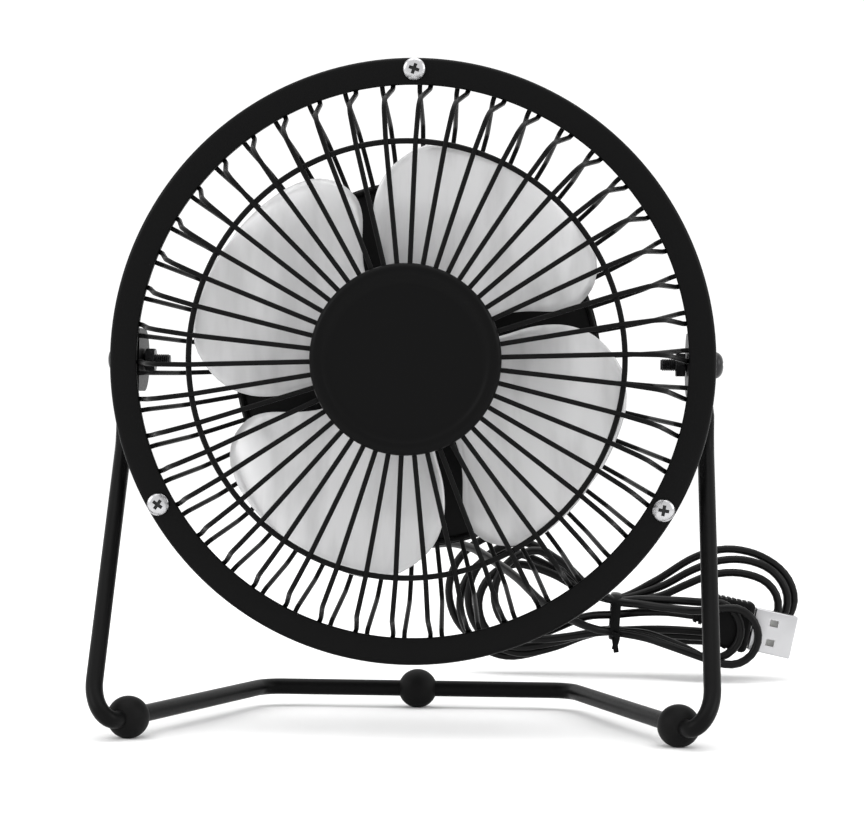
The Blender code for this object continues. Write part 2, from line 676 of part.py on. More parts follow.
def make_switch(head, switch_axis):
    """A rocker switch in the middle of the cover's back: its body and its rocker."""
    back = COVER_REAR
    body = add("switch_body", box((-4.4 * MM, back - 7.5 * MM, -6.6 * MM),
                                  (4.4 * MM, back + 0.6 * MM, 6.6 * MM)), "black_plastic", **head)
    flange = box((-5.6 * MM, back + GAP, -7.8 * MM), (5.6 * MM, back + 1.4 * MM, 7.8 * MM), 0.3 * MM)
    cut(body, "switch_flange", flange, operation="UNION", **head)
    pocket = box((-3.5 * MM, back - 6.0 * MM, -5.8 * MM), (3.5 * MM, back + 3.0 * MM, 5.8 * MM))
    cut(body, "switch_pocket", pocket, **head)
    half = 3.2 * MM
    outline = [Vector((-half, y * MM, z * MM)) for y, z in
               ((-1.5, -5.0), (-1.5, 5.0), (2.4, 5.0), (1.5, 0.0), (2.4, -5.0))]
    rocker = extruded(outline, (2.0 * half, 0.0, 0.0))
    bmesh.ops.transform(rocker, matrix=Matrix.Rotation(math.radians(-9.0), 4, "X"), verts=rocker.verts)
    add("switch_rocker", rocker, "black_plastic", parent=switch_axis)


def make_pivots(tilt):
    """On each side: a black pan-head screw through the eye and the ear, a spacer and a nut."""
    for name, side in (("left", -1.0), ("right", 1.0)):
        eye_face = EYE_X + 1.2 * MM
        place = dict(parent=tilt, location=(side * eye_face, 0.0, 0.0))
        length = eye_face - 58.9 * MM
        make_screw("pivot_screw_" + name, 3.2 * MM, 3.0 * MM, 1.5 * MM, length, "black_steel", place,
                   along=side)
        ear_in = 65.1 * MM
        make_nut("pivot_nut_" + name, 3.15 * MM, 1.8 * MM, eye_face - ear_in + GAP, 2.3 * MM,
                 "black_steel", place, along=side)
        ear_out = ear_in + 1.2 * MM
        start = eye_face - (EYE_X - 1.2 * MM) + GAP
        end = eye_face - ear_out - GAP
        washer = turned([(1.8 * MM, start), (4.2 * MM, start), (4.2 * MM, end), (1.8 * MM, end)], 16)
        add("pivot_spacer_" + name, along_x(washer, side), "black_rubber", **place)


# ---------------------------------------------------------------- cord

def smooth_points(route, spacing):
    """Points at an even spacing along a smooth curve through the route's points."""
    fine = []
    padded = [2 * route[0] - route[1]] + route + [2 * route[-1] - route[-2]]
    for a, b, c, d in zip(padded, padded[1:], padded[2:], padded[3:]):
        for step in range(24):
            t = step / 24
            fine.append(0.5 * (2 * b + (c - a) * t + (2 * a - 5 * b + 4 * c - d) * t * t
                               + (3 * b - a - 3 * c + d) * t ** 3))
    fine.append(route[-1])
    kept = [fine[0]]
    run = 0.0
    for before, after in zip(fine, fine[1:]):
        run += (after - before).length
        if run >= spacing:
            kept.append(after)
            run = 0.0
    if (kept[-1] - fine[-1]).length < spacing * 0.5:
        kept.pop()
    kept.append(fine[-1])
    return kept


def tube(name, route, parent=None):
    """A plain cord tube along a route, as a curve object with filled ends."""
    points = smooth_points(route, 5.0 * CORD_R)
    origin = parent.matrix_world.translation if parent else Vector()
    curve = bpy.data.curves.new(name, "CURVE")
    curve.dimensions = "3D"
    curve.bevel_depth = CORD_R
    curve.bevel_resolution = 2
    curve.use_fill_caps = True
    spline = curve.splines.new("POLY")
    spline.points.add(len(points) - 1)
    for target, point in zip(spline.points, points):
        target.co = (*(point - origin), 1.0)
    curve.materials.append(material("cord_jacket"))
    made = bpy.data.objects.new(name, curve)
    made.parent = parent
    bpy.context.collection.objects.link(made)
    return made


def make_cord(tilt):
    """The cord: a drop that tilts with the head, a lead to the hank, the hank, its tie and the plug."""
    drop = [EXIT, Vector((-3.0, 29.1, 46.5)) * MM, Vector((-1.5, 31.5, 42.9)) * MM,
            Vector((2.5, 37.0, 41.4)) * MM, Vector((8.0, 48.0, 41.0)) * MM,
            Vector((13.0, 60.0, 39.0)) * MM, Vector((15.0, 65.0, 37.5)) * MM]
    ahead = (drop[-1] - drop[-2]).normalized()
    lead = [drop[-1] + ahead * GAP, Vector((18.5, 73.0, 34.8)) * MM, Vector((24.0, 86.0, 29.5)) * MM,
            Vector((29.5, 98.0, 22.5)) * MM, Vector((37.5, 108.0, 16.8)) * MM,
            Vector((43.5, 114.5, 14.4)) * MM, Vector((45.6, HANK_Y / MM - 0.6, 13.6)) * MM]
    tube("cord_drop", drop, tilt)
    tube("cord_lead", lead)
    outline = []
    ends = ((20.5, 20.2, 90.0), (84.5, 20.2, -90.0))
    for centre_x, centre_z, start in ends:
        for step in range(9):
            turn = math.radians(start + 180.0 * step / 8)
            outline.append(Vector((centre_x + 18.5 * math.cos(turn), HANK_Y / MM,
                                   centre_z + 19.5 * math.sin(turn))) * MM)
    add("cord_hank", extruded(outline, (0.0, HANK_DEPTH, 0.0)), "cord_jacket")
    plug_turn = Matrix.Rotation(math.radians(12.0), 4, "Y")
    plug_at = Vector((90.0, HANK_Y / MM - 6.5, 14.6)) * MM
    body = box((-12.0 * MM, -4.0 * MM, -7.2 * MM), (-GAP, 4.0 * MM, 7.2 * MM), 1.4 * MM)
    shell = box((0.0, -2.25 * MM, -6.0 * MM), (12.0 * MM, 2.25 * MM, 6.0 * MM))
    mouth = box((1.0 * MM, -1.85 * MM, -5.6 * MM), (13.0 * MM, 1.85 * MM, 5.6 * MM))
    tongue = box((1.3 * MM, 0.0 * MM, -5.3 * MM), (11.2 * MM, 1.55 * MM, 5.3 * MM))
    for shape in (body, shell, mouth, tongue):
        bmesh.ops.transform(shape, matrix=plug_turn, verts=shape.verts)
        bmesh.ops.translate(shape, vec=plug_at, verts=shape.verts)
    add("usb_body", body, "black_plastic")
    cut(add("usb_shell", shell, "zinc_steel"), "shell_mouth", mouth)
    add("usb_tongue", tongue, "white_plastic")
    tie = box((50.0 * MM, HANK_Y - 1.2 * MM, 40.1 * MM), (53.6 * MM, HANK_Y + HANK_DEPTH + 1.2 * MM, 41.2 * MM))
    add("cable_tie", tie, "black_plastic")


def main():
    clear_scene()
    tilt = empty("tilt_axis", (0.0, RING_Y + PIVOT_DEPTH, HEAD_Z))
    spin = empty("spin_axis", (0.0, -PIVOT_DEPTH, 0.0), tilt)
    switch_axis = empty("switch_axis", (0.0, COVER_REAR - PIVOT_DEPTH, 0.0), tilt)
    bpy.context.view_layer.update()
    head = dict(parent=tilt, location=(0.0, -PIVOT_DEPTH, 0.0))
    make_stand()
    make_ring(head)
    make_guards(head)
    make_cap(head)
    plate_back = make_rear_plate(head)
    make_motor(head)
    make_blades(dict(parent=spin))
    make_rear_cover(head, plate_back)
    make_switch(head, switch_axis)
    make_pivots(tilt)
    make_cord(tilt)


main()
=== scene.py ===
"""The desk fan's looks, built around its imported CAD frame. Metres, +Z up, the fan blows towards -Y."""

import math

import bmesh
import bpy
from mathutils import Matrix, Vector


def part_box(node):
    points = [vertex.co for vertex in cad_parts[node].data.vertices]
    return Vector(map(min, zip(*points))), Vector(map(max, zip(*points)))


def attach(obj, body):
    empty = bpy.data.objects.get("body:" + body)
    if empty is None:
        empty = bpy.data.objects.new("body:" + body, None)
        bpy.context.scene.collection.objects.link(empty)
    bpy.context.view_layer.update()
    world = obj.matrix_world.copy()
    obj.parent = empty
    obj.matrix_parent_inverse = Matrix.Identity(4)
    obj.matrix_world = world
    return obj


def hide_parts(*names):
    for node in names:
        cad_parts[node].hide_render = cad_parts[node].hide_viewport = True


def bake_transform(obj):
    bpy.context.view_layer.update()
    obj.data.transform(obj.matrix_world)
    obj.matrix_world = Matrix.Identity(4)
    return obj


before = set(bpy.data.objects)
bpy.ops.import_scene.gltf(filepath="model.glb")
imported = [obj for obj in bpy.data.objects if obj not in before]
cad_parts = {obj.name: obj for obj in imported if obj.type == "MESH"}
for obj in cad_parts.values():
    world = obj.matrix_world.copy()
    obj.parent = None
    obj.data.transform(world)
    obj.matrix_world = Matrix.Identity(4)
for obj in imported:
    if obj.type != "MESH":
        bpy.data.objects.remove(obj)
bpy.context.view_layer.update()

MM = 0.001
FRONT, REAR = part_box("front_ring"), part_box("rear_plate")
RING_LOW, RING_HIGH = Vector(FRONT[0]), Vector(FRONT[1])
CENTRE = Vector((0.0, RING_LOW.y, (RING_LOW.z + RING_HIGH.z) / 2.0))
RING_R = (RING_HIGH.x - RING_LOW.x) / 2.0
PLATE_FRONT = REAR[0][1] - RING_LOW.y
PLATE_R = (REAR[1][0] - REAR[0][0]) / 2.0
EYE_LOW, EYE_HIGH = (Vector(corner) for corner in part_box("stand_frame"))
FOOT_LOW, FOOT_HIGH = (Vector(corner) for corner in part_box("foot_front_right"))
FOOT_R = (FOOT_HIGH.x - FOOT_LOW.x) / 2.0
FOOT = Vector(((FOOT_LOW.x + FOOT_HIGH.x) / 2.0, (FOOT_LOW.y + FOOT_HIGH.y) / 2.0, FOOT_HIGH.z - FOOT_R))
# The stand
ROD_R = 2.0 * MM
BAR_CORNER = Vector((38.6 * MM, 37.0 * MM, FOOT.z))
SIDES = (("left", -1.0), ("right", 1.0))
# The head. Depths are measured back from the front ring's face, and PIVOT is the tilt axis's depth.
PIVOT = Vector((0.0, 13.5 * MM, 0.0))
SCREW_CIRCLE_R = 68.6 * MM
RING_SCREWS = (("top", 90.0), ("left", 210.0), ("right", 330.0))
COVER_SCREW_X = 15.0 * MM
COVER_R = 24.0 * MM
COVER_FRONT, COVER_BACK = (corner[1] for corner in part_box("rear_cover"))
# The guards
WIRE_R = 0.6 * MM
WIRE_COUNT = 46
GUARD_FRONT = -24.0 * MM
GUARD_BACK = 27.6 * MM
MIDDLE_RING_R = 49.4 * MM
RIM_R = 66.4 * MM
FRONT_RIM = 1.9 * MM
REAR_RIM = 3.5 * MM
# The blades
BLADE_Y = -2.0 * MM
BLADE_ROOT_R = 12.0
BLADE_TIP_R = 50.9
# The cord, its hank's tie and its plug
CORD_R = 1.15 * MM
TIE = Vector((51.8, 120.7, 17.0)) * MM
PLUG_AT = Vector((90.0, 114.5, 14.6)) * MM
PLUG_TURN = 12.0


# ---------------------------------------------------------------- shapes

def turned(profile, steps=96):
    """Turn a closed (radius, y) outline once about the Y axis."""
    shape = bmesh.new()
    points = [shape.verts.new((radius, y, 0.0)) for radius, y in profile]
    edges = [shape.edges.new(pair) for pair in zip(points, points[1:])]
    if profile[0][0] > 0.0 or profile[-1][0] > 0.0:
        edges.append(shape.edges.new((points[-1], points[0])))
    bmesh.ops.spin(shape, geom=points + edges, cent=(0, 0, 0), axis=(0, 1, 0),
                   angle=math.tau, steps=steps, use_merge=True)
    bmesh.ops.remove_doubles(shape, verts=shape.verts, dist=1e-7)
    return shape


def corner_curve(before, here, after, radius, steps):
    """The points of a short curve that takes a corner's place."""
    reach = min(radius, (before - here).length * 0.45, (after - here).length * 0.45)
    start = here + (before - here).normalized() * reach
    end = here + (after - here).normalized() * reach
    points = []
    for step in range(steps + 1):
        t = step / steps
        points.append(start * (1 - t) ** 2 + here * 2 * t * (1 - t) + end * t * t)
    return points


def rounded(profile, radius, segments=4):
    """Round the corners of a (radius, y) outline; corners on the axis stay."""
    result = []
    count = len(profile)
    for index, corner in enumerate(profile):
        here = Vector(corner)
        before = Vector(profile[index - 1])
        after = Vector(profile[(index + 1) % count])
        if here.x < 1e-6:
            result.append(corner)
            continue
        result += [(point.x, point.y) for point in corner_curve(before, here, after, radius, segments)]
    return result


def cylinder(radius, low, high, steps=32):
    return turned([(0.0, low), (radius, low), (radius, high), (0.0, high)], steps)


def turn(shape, degrees, axis):
    bmesh.ops.transform(shape, matrix=Matrix.Rotation(math.radians(degrees), 4, axis), verts=shape.verts)
    return shape


def moved(shape, offset):
    bmesh.ops.translate(shape, vec=offset, verts=shape.verts)
    return shape


def box(low, high, bevel=0.0, segments=3):
    shape = bmesh.new()
    low, high = Vector(low), Vector(high)
    bmesh.ops.create_cube(shape, size=1.0)
    bmesh.ops.scale(shape, vec=high - low, verts=shape.verts)
    bmesh.ops.translate(shape, vec=(low + high) / 2.0, verts=shape.verts)
    if bevel:
        bmesh.ops.bevel(shape, geom=shape.edges, offset=bevel, segments=segments, affect="EDGES",
                        profile=0.5)
    return shape


def extruded(outline, thickness):
    """Raise a closed outline of points by a thickness vector."""
    shape = bmesh.new()
    face = shape.faces.new([shape.verts.new(point) for point in outline])
    raised = bmesh.ops.extrude_face_region(shape, geom=[face])
    tops = [item for item in raised["geom"] if isinstance(item, bmesh.types.BMVert)]
    bmesh.ops.translate(shape, vec=thickness, verts=tops)
    return shape


def join(*shapes):
    whole = bmesh.new()
    for shape in shapes:
        mesh = bpy.data.meshes.new("part")
        shape.to_mesh(mesh)
        shape.free()
        whole.from_mesh(mesh)
        bpy.data.meshes.remove(mesh)
    return whole


def polar(radius, degrees, y=0.0):
    angle = math.radians(degrees)
    return Vector((radius * math.cos(angle), y, radius * math.sin(angle)))


def bezier(start, handle_a, handle_b, end, steps):
    points = []
    for step in range(1, steps + 1):
        t = step / steps
        u = 1.0 - t
        points.append(u ** 3 * start + 3 * u * u * t * handle_a + 3 * u * t * t * handle_b + t ** 3 * end)
    return points


def smooth_points(route, spacing):
    """Points at an even spacing along a smooth curve through the route's points."""
    fine = []
    padded = [2 * route[0] - route[1]] + route + [2 * route[-1] - route[-2]]
    for a, b, c, d in zip(padded, padded[1:], padded[2:], padded[3:]):
        for step in range(24):
            t = step / 24
            fine.append(0.5 * (2 * b + (c - a) * t + (2 * a - 5 * b + 4 * c - d) * t * t
                               + (3 * b - a - 3 * c + d) * t ** 3))
    fine.append(route[-1])
    kept = [fine[0]]
    run = 0.0
    for before, after in zip(fine, fine[1:]):
        run += (after - before).length
        if run >= spacing:
            kept.append(after)
            run = 0.0
    if (kept[-1] - fine[-1]).length < spacing * 0.5:
        kept.pop()
    kept.append(fine[-1])
    return kept


def skin(path, sides=12, first_side=Vector((1.0, 0.0, 0.0)), closed=False):
    """Skin a tube through (point, half width, half height) entries, carrying one frame along."""
    shape = bmesh.new()
    points = [entry[0] for entry in path]
    side = first_side
    rows = []
    count = len(path)
    for index, (point, half_a, half_b) in enumerate(path):
        before = points[index - 1] if closed or index else points[0]
        after = points[(index + 1) % count] if closed or index < count - 1 else points[-1]
        ahead = (after - before).normalized()
        side = (side - ahead * side.dot(ahead)).normalized()
        other = ahead.cross(side)
        row = []
        for corner in range(sides):
            angle = math.tau * corner / sides
            row.append(shape.verts.new(point + side * half_a * math.cos(angle)
                                       + other * half_b * math.sin(angle)))
        rows.append(row)
    pairs = list(zip(rows, rows[1:]))
    if closed:
        pairs.append((rows[-1], rows[0]))
    for low, high in pairs:
        for corner in range(sides):
            following = (corner + 1) % sides
            shape.faces.new((low[corner], low[following], high[following], high[corner]))
    if not closed:
        shape.faces.new(rows[0])
        shape.faces.new(rows[-1])
    return shape


def applied(target, cutter, operation="DIFFERENCE"):
    """Cut one piece's mesh with a shape, and keep only the result."""
    bmesh.ops.recalc_face_normals(cutter, faces=cutter.faces)
    mesh = bpy.data.meshes.new("cutter")
    cutter.to_mesh(mesh)
    cutter.free()
    tool = bpy.data.objects.new("cutter", mesh)
    bpy.context.collection.objects.link(tool)
    step = target.modifiers.new("cut", "BOOLEAN")
    step.operation = operation
    step.solver = "EXACT"
    step.object = tool
    bpy.context.view_layer.update()
    evaluated = target.evaluated_get(bpy.context.evaluated_depsgraph_get())
    result = bpy.data.meshes.new_from_object(evaluated)
    target.modifiers.clear()
    old = target.data
    target.data = result
    bpy.data.meshes.remove(old)
    bpy.data.objects.remove(tool, do_unlink=True)
    bpy.data.meshes.remove(mesh)
    smooth(target.data)
    return target


def smooth(mesh, degrees=32.0):
    mesh.shade_smooth()
    mesh.set_sharp_from_angle(angle=math.radians(degrees))


def piece(name, shape, finish, body, replaced=(), offset=None, sharp=32.0):
    """Turn a bmesh into a finished piece that rides on a body."""
    bmesh.ops.recalc_face_normals(shape, faces=shape.faces)
    mesh = bpy.data.meshes.new(name)
    shape.to_mesh(mesh)
    shape.free()
    if offset is not None:
        mesh.transform(Matrix.Translation(offset))
    smooth(mesh, sharp)
    mesh.materials.append(FINISHES[finish])
    made = bpy.data.objects.new(name, mesh)
    bpy.context.collection.objects.link(made)
    if body:
        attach(made, body)
    if replaced:
        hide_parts(*replaced)
    return made


# ---------------------------------------------------------------- finishes

def new_material(name, colour, metallic, roughness, specular=0.5):
    made = bpy.data.materials.new("look_" + name)
    made.use_nodes = True
    shader = made.node_tree.nodes["Principled BSDF"]
    shader.inputs["Base Color"].default_value = (*colour, 1.0)
    shader.inputs["Metallic"].default_value = metallic
    shader.inputs["Roughness"].default_value = roughness
    shader.inputs["Specular IOR Level"].default_value = specular
    made.diffuse_color = (*colour, 1.0)
    return made, made.node_tree, shader


def grain(tree, shader, scale, strength, distance, stretch=(1.0, 1.0, 1.0), detail=3.0):
    """A fine bump over the surface."""
    place = tree.nodes.new("ShaderNodeTexCoord")
    mapping = tree.nodes.new("ShaderNodeMapping")
    mapping.inputs["Scale"].default_value = stretch
    noise = tree.nodes.new("ShaderNodeTexNoise")
    noise.inputs["Scale"].default_value = scale
    noise.inputs["Detail"].default_value = detail
    bump = tree.nodes.new("ShaderNodeBump")
    bump.inputs["Strength"].default_value = strength
    bump.inputs["Distance"].default_value = distance
    tree.links.new(place.outputs["Object"], mapping.inputs["Vector"])
    tree.links.new(mapping.outputs["Vector"], noise.inputs["Vector"])
    tree.links.new(noise.outputs["Fac"], bump.inputs["Height"])
    tree.links.new(bump.outputs["Normal"], shader.inputs["Normal"])
    return noise, mapping


def mottle(tree, shader, noise, socket, low, high):
    """Let the grain's noise vary one of the shader's inputs a little."""
    spread = tree.nodes.new("ShaderNodeMapRange")
    spread.inputs["From Min"].default_value = 0.3
    spread.inputs["From Max"].default_value = 0.7
    spread.inputs["To Min"].default_value = low
    spread.inputs["To Max"].default_value = high
    tree.links.new(noise.outputs["Fac"], spread.inputs["Value"])
    tree.links.new(spread.outputs["Result"], shader.inputs[socket])


def brushed_aluminium():
    look, tree, shader = new_material("aluminium", (0.60, 0.60, 0.605), 0.55, 0.46)
    noise, mapping = grain(tree, shader, 260.0, 0.05, 0.00003, (1.0, 1.0, 0.06), 4.0)
    mapping.inputs["Rotation"].default_value = (0.0, math.radians(28.0), 0.0)
    mottle(tree, shader, noise, "Roughness", 0.38, 0.52)
    streaks = tree.nodes.new("ShaderNodeTexNoise")
    streaks.inputs["Scale"].default_value = 150.0
    streaks.inputs["Detail"].default_value = 5.0
    tree.links.new(mapping.outputs["Vector"], streaks.inputs["Vector"])
    shades = tree.nodes.new("ShaderNodeValToRGB")
    for element, place, shade in zip(shades.color_ramp.elements, (0.36, 0.56), (0.53, 0.63)):
        element.position = place
        element.color = (shade, shade, shade + 0.005, 1.0)
    tree.links.new(streaks.outputs["Fac"], shades.inputs["Fac"])
    tree.links.new(shades.outputs["Color"], shader.inputs["Base Color"])
    return look


def make_finishes():
    """The looks by slot: colour, metallic, roughness and specular, then the grain's size and depth."""
    made = {"aluminium": brushed_aluminium()}
    grained = (("black_paint", (0.0030, 0.0030, 0.0031), 0.0, 0.38, 0.075, 2400.0, 0.10, 0.00004),
               ("black_plastic", (0.0030, 0.0030, 0.0031), 0.0, 0.38, 0.060, 1500.0, 0.06, 0.00003),
               ("black_rubber", (0.0036, 0.0036, 0.0036), 0.0, 0.55, 0.095, 900.0, 0.12, 0.00005),
               ("cord_jacket", (0.0032, 0.0032, 0.0033), 0.0, 0.32, 0.130, 700.0, 0.05, 0.00003),
               ("zinc_steel", (0.50, 0.50, 0.51), 1.0, 0.28, 0.5, 900.0, 0.05, 0.00002),
               ("black_steel", (0.02, 0.02, 0.021), 0.6, 0.34, 0.5, 900.0, 0.05, 0.00002))
    for name, colour, metallic, roughness, specular, scale, strength, depth in grained:
        look, tree, shader = new_material(name, colour, metallic, roughness, specular)
        noise = grain(tree, shader, scale, strength, depth)[0]
        if name == "black_paint":
            mottle(tree, shader, noise, "Roughness", 0.32, 0.44)
        made[name] = look
    for name, colour, metallic, roughness in (("brass", (0.55, 0.40, 0.18), 1.0, 0.35),
                                              ("copper", (0.50, 0.22, 0.12), 1.0, 0.35),
                                              ("white_plastic", (0.78, 0.78, 0.76), 0.0, 0.4)):
        made[name] = new_material(name, colour, metallic, roughness)[0]
    return made


# ---------------------------------------------------------------- camera

def make_camera():
    data = bpy.data.cameras.new("camera")
    data.lens = 106.58
    data.sensor_width = 36.0
    data.clip_start = 0.02
    data.clip_end = 20.0
    camera = bpy.data.objects.new("camera", data)
    yaw = Matrix.Rotation(math.radians(2.606), 4, "Z")
    pitch = Matrix.Rotation(math.radians(89.854), 4, "X")
    roll = Matrix.Rotation(math.radians(0.6), 4, "Z")
    at = Matrix.Translation(CENTRE + Vector((32.3, -600.0, -11.0)) * MM)
    camera.matrix_world = at @ yaw @ pitch @ roll
    bpy.context.collection.objects.link(camera)
    bpy.context.scene.camera = camera


# ---------------------------------------------------------------- cord

def eased(low, high, share):
    """A smooth step from low to high."""
    share = min(max(share, 0.0), 1.0)
    return low + (high - low) * share * share * (3.0 - 2.0 * share)


def right_loop(line, slot, depth):
    """Points of a loop to the right of the tie, from (x, z) in mm, easing from its slot to its depth."""
    points = []
    for x, z in line:
        points.append(Vector((x, eased(slot, depth, (x * MM - TIE.x) / (26.0 * MM)), z)) * MM)
    return points


def left_loop(reach, low, high, depth, before, after):
    """Points of a loop to the left of the tie, from its upper slot round to its lower one, in mm."""
    half = (high - low) / 2.0
    centre_x = reach + half
    tie_x = TIE.x / MM
    points = []
    for share in (0.32, 0.66):
        points.append((tie_x + (centre_x - tie_x) * share, eased(before[0], depth, share),
                       eased(before[1], high, share)))
    for step in range(7):
        angle = math.radians(90.0 + 30.0 * step)
        points.append((centre_x + half * math.cos(angle), depth, low + half + half * math.sin(angle)))
    for share in (0.66, 0.32):
        points.append((tie_x + (centre_x - tie_x) * share, eased(after[0], depth, share),
                       eased(after[1], low, share)))
    return [Vector(point) * MM for point in points]


def fold(centre_x, centre_z, radius):
    """The (x, z) points of a fold's half turn, from below to above."""
    points = []
    for step in range(-3, 4):
        angle = math.radians(35.0 * step)
        points.append((centre_x + radius * math.cos(angle), centre_z + radius * math.sin(angle)))
    return points


def cord_route():
    """The whole cord's line: down from the relief, back to the hank, round its turns, and to the plug.

    Each turn passes the tie low, goes round a loop on the right, passes the tie high and comes back
    round a loop on the left. Every turn has its own slot in the tie, and its loops have their own depths.
    """
    lead = [(-3.0, 29.0, 50.2), (-3.0, 29.1, 46.5), (-1.5, 31.5, 42.9), (2.5, 37.0, 41.4),
            (8.0, 48.0, 41.0), (13.0, 60.0, 39.0), (15.0, 65.0, 37.5), (18.5, 73.0, 34.8),
            (24.5, 86.0, 29.5), (31.0, 98.0, 22.5), (39.0, 107.6, 17.0), (45.8, 113.4, 13.9)]
    below, above = 12.8, 21.6
    slots = (115.6, 118.0, 120.4, 122.8, 125.2)
    nearest = ([(60.0, 11.6), (67.0, 9.7), (74.5, 7.4)] + fold(83.3, 13.0, 7.95)
               + [(74.5, 19.9), (66.0, 20.3), (59.0, 20.9)])
    second = ([(60.0, 12.6), (66.0, 11.0), (72.0, 8.8)] + fold(78.6, 14.4, 7.95)
              + [(71.0, 22.3), (65.0, 22.3), (58.5, 22.1)])
    third = [(65.0, 13.4), (79.0, 12.8), (87.5, 12.4), (93.4, 13.5), (97.0, 16.8), (98.0, 21.0),
             (96.5, 25.2), (92.6, 28.3), (85.8, 29.8), (78.5, 28.9), (71.5, 26.0), (65.0, 23.0),
             (59.0, 21.8)]
    fourth = [(65.0, 11.8), (80.0, 11.2), (90.5, 11.9), (97.9, 14.9), (100.7, 20.6), (99.7, 26.2),
              (95.6, 30.8), (89.0, 33.2), (81.5, 33.0), (73.5, 30.1), (64.0, 25.0)]
    fifth = [(65.0, 10.4), (80.0, 9.8), (91.3, 10.6), (99.2, 14.4), (102.8, 20.6), (101.8, 26.8),
             (97.6, 31.8), (90.6, 35.3), (82.4, 36.1), (73.6, 33.3), (63.0, 26.6)]
    rights = ((nearest, 105.6), (second, 108.3), (third, 120.3), (fourth, 122.8), (fifth, 125.3))
    lefts = ((17.5, 10.5, 35.5, 116.2), (13.0, 8.0, 31.5, 118.8), (10.0, 6.0, 37.6, 121.4),
             (7.5, 4.8, 34.5, 124.0), (4.2, 7.0, 39.4, 126.6))
    route = [Vector(point) * MM for point in lead]
    for index, ((line, depth), left) in enumerate(zip(rights, lefts)):
        slot = slots[index]
        last = index == len(slots) - 1
        after = (TIE.y / MM, TIE.z / MM) if last else (slots[index + 1], below)
        route.append(Vector((TIE.x / MM, slot, below)) * MM)
        route += right_loop(line, slot, depth)
        route.append(Vector((TIE.x / MM, slot, above)) * MM)
        turn_back = left_loop(*left, (slot, above), after)
        if last:
            turn_back[-2] = Vector((34.0, 127.2, 12.2)) * MM
            turn_back[-1] = Vector((43.5, 125.0, 16.3)) * MM
        route += turn_back
    end = [(51.8, 120.7, 17.4), (59.2, 117.4, 18.4), (66.6, 115.1, 18.7), (74.8, 114.5, 17.8)]
    route += [Vector(point) * MM for point in end]
    return route


def make_cord():
    """The whole cord as one tube, from the head to the stand where it hangs free."""
    points = smooth_points(cord_route(), 1.7 * CORD_R)
    shape = skin([(point, CORD_R, CORD_R) for point in points], 10, Vector((0.0, 1.0, 0.0)))
    cord = piece("usb_cord", shape, "cord_jacket", None,
                 ("cord_drop", "cord_lead", "cord_hank"), sharp=60.0)
    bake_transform(cord)
    return cord, points


# ---------------------------------------------------------------- stand

def round_rod(points):
    return [(point, ROD_R, ROD_R) for point in points]


def rod_path():
    """Half the rod's line, from the flattened eye at the top to the middle of the rear bar."""
    rod_shift = 0.6 * MM
    eye = Vector((EYE_HIGH.x - ROD_R - rod_shift, CENTRE.y + PIVOT.y, CENTRE.z))
    eye_r = 4.5 * MM
    path = []
    for degrees in (82.0, 68.0, 52.0, 36.0, 20.0, 0.0, -15.0, -30.0):
        rise = eye_r * math.sin(math.radians(degrees))
        width = eye_r * math.cos(math.radians(degrees))
        path.append((eye + Vector((0.0, 0.0, rise)), 1.2 * MM, width))
    for drop, out, thin, wide in ((5.0, 0.1, 1.35, 3.1), (6.8, 0.25, 1.5, 2.65), (8.5, 0.4, 1.7, 2.3),
                                  (10.2, 0.5, 1.85, 2.1), (12.0, 0.6, 2.0, 2.0)):
        path.append((eye + Vector((out, 0.0, -drop)) * MM, thin * MM, wide * MM))
    knee = eye + Vector((rod_shift, 0.0, -14.5 * MM))
    lean = Vector((69.9, 2.6, 64.5)) * MM
    leg_end = Vector((69.6, -34.5, 13.5)) * MM
    down = (leg_end - lean).normalized()
    path += round_rod([knee])
    path += round_rod(bezier(knee, knee - Vector((0.0, 0.0, 3.0 * MM)), lean - down * 3.0 * MM, lean, 6))
    path += round_rod([lean.lerp(leg_end, share) for share in (0.33, 0.66, 1.0)])
    arm = (BAR_CORNER - FOOT).normalized()
    entry = FOOT - arm * 5.4 * MM
    path += round_rod(bezier(leg_end, leg_end + down * 7.0 * MM, entry - arm * 5.0 * MM, entry, 18))
    path += round_rod([FOOT, FOOT + arm * 9.0 * MM])
    across = Vector((-1.0, 0.0, 0.0))
    tangent = 7.0 * MM * math.tan(arm.angle(across) / 2.0)
    bend_start = BAR_CORNER - arm * tangent
    path += round_rod([BAR_CORNER - arm * (tangent + 12.0 * MM), bend_start])
    path += round_rod(bezier(bend_start, BAR_CORNER - arm * tangent * 0.38,
                             BAR_CORNER + across * tangent * 0.38, BAR_CORNER + across * tangent, 10))
    path += round_rod([Vector((16.0 * MM, BAR_CORNER.y, FOOT.z))])
    return path


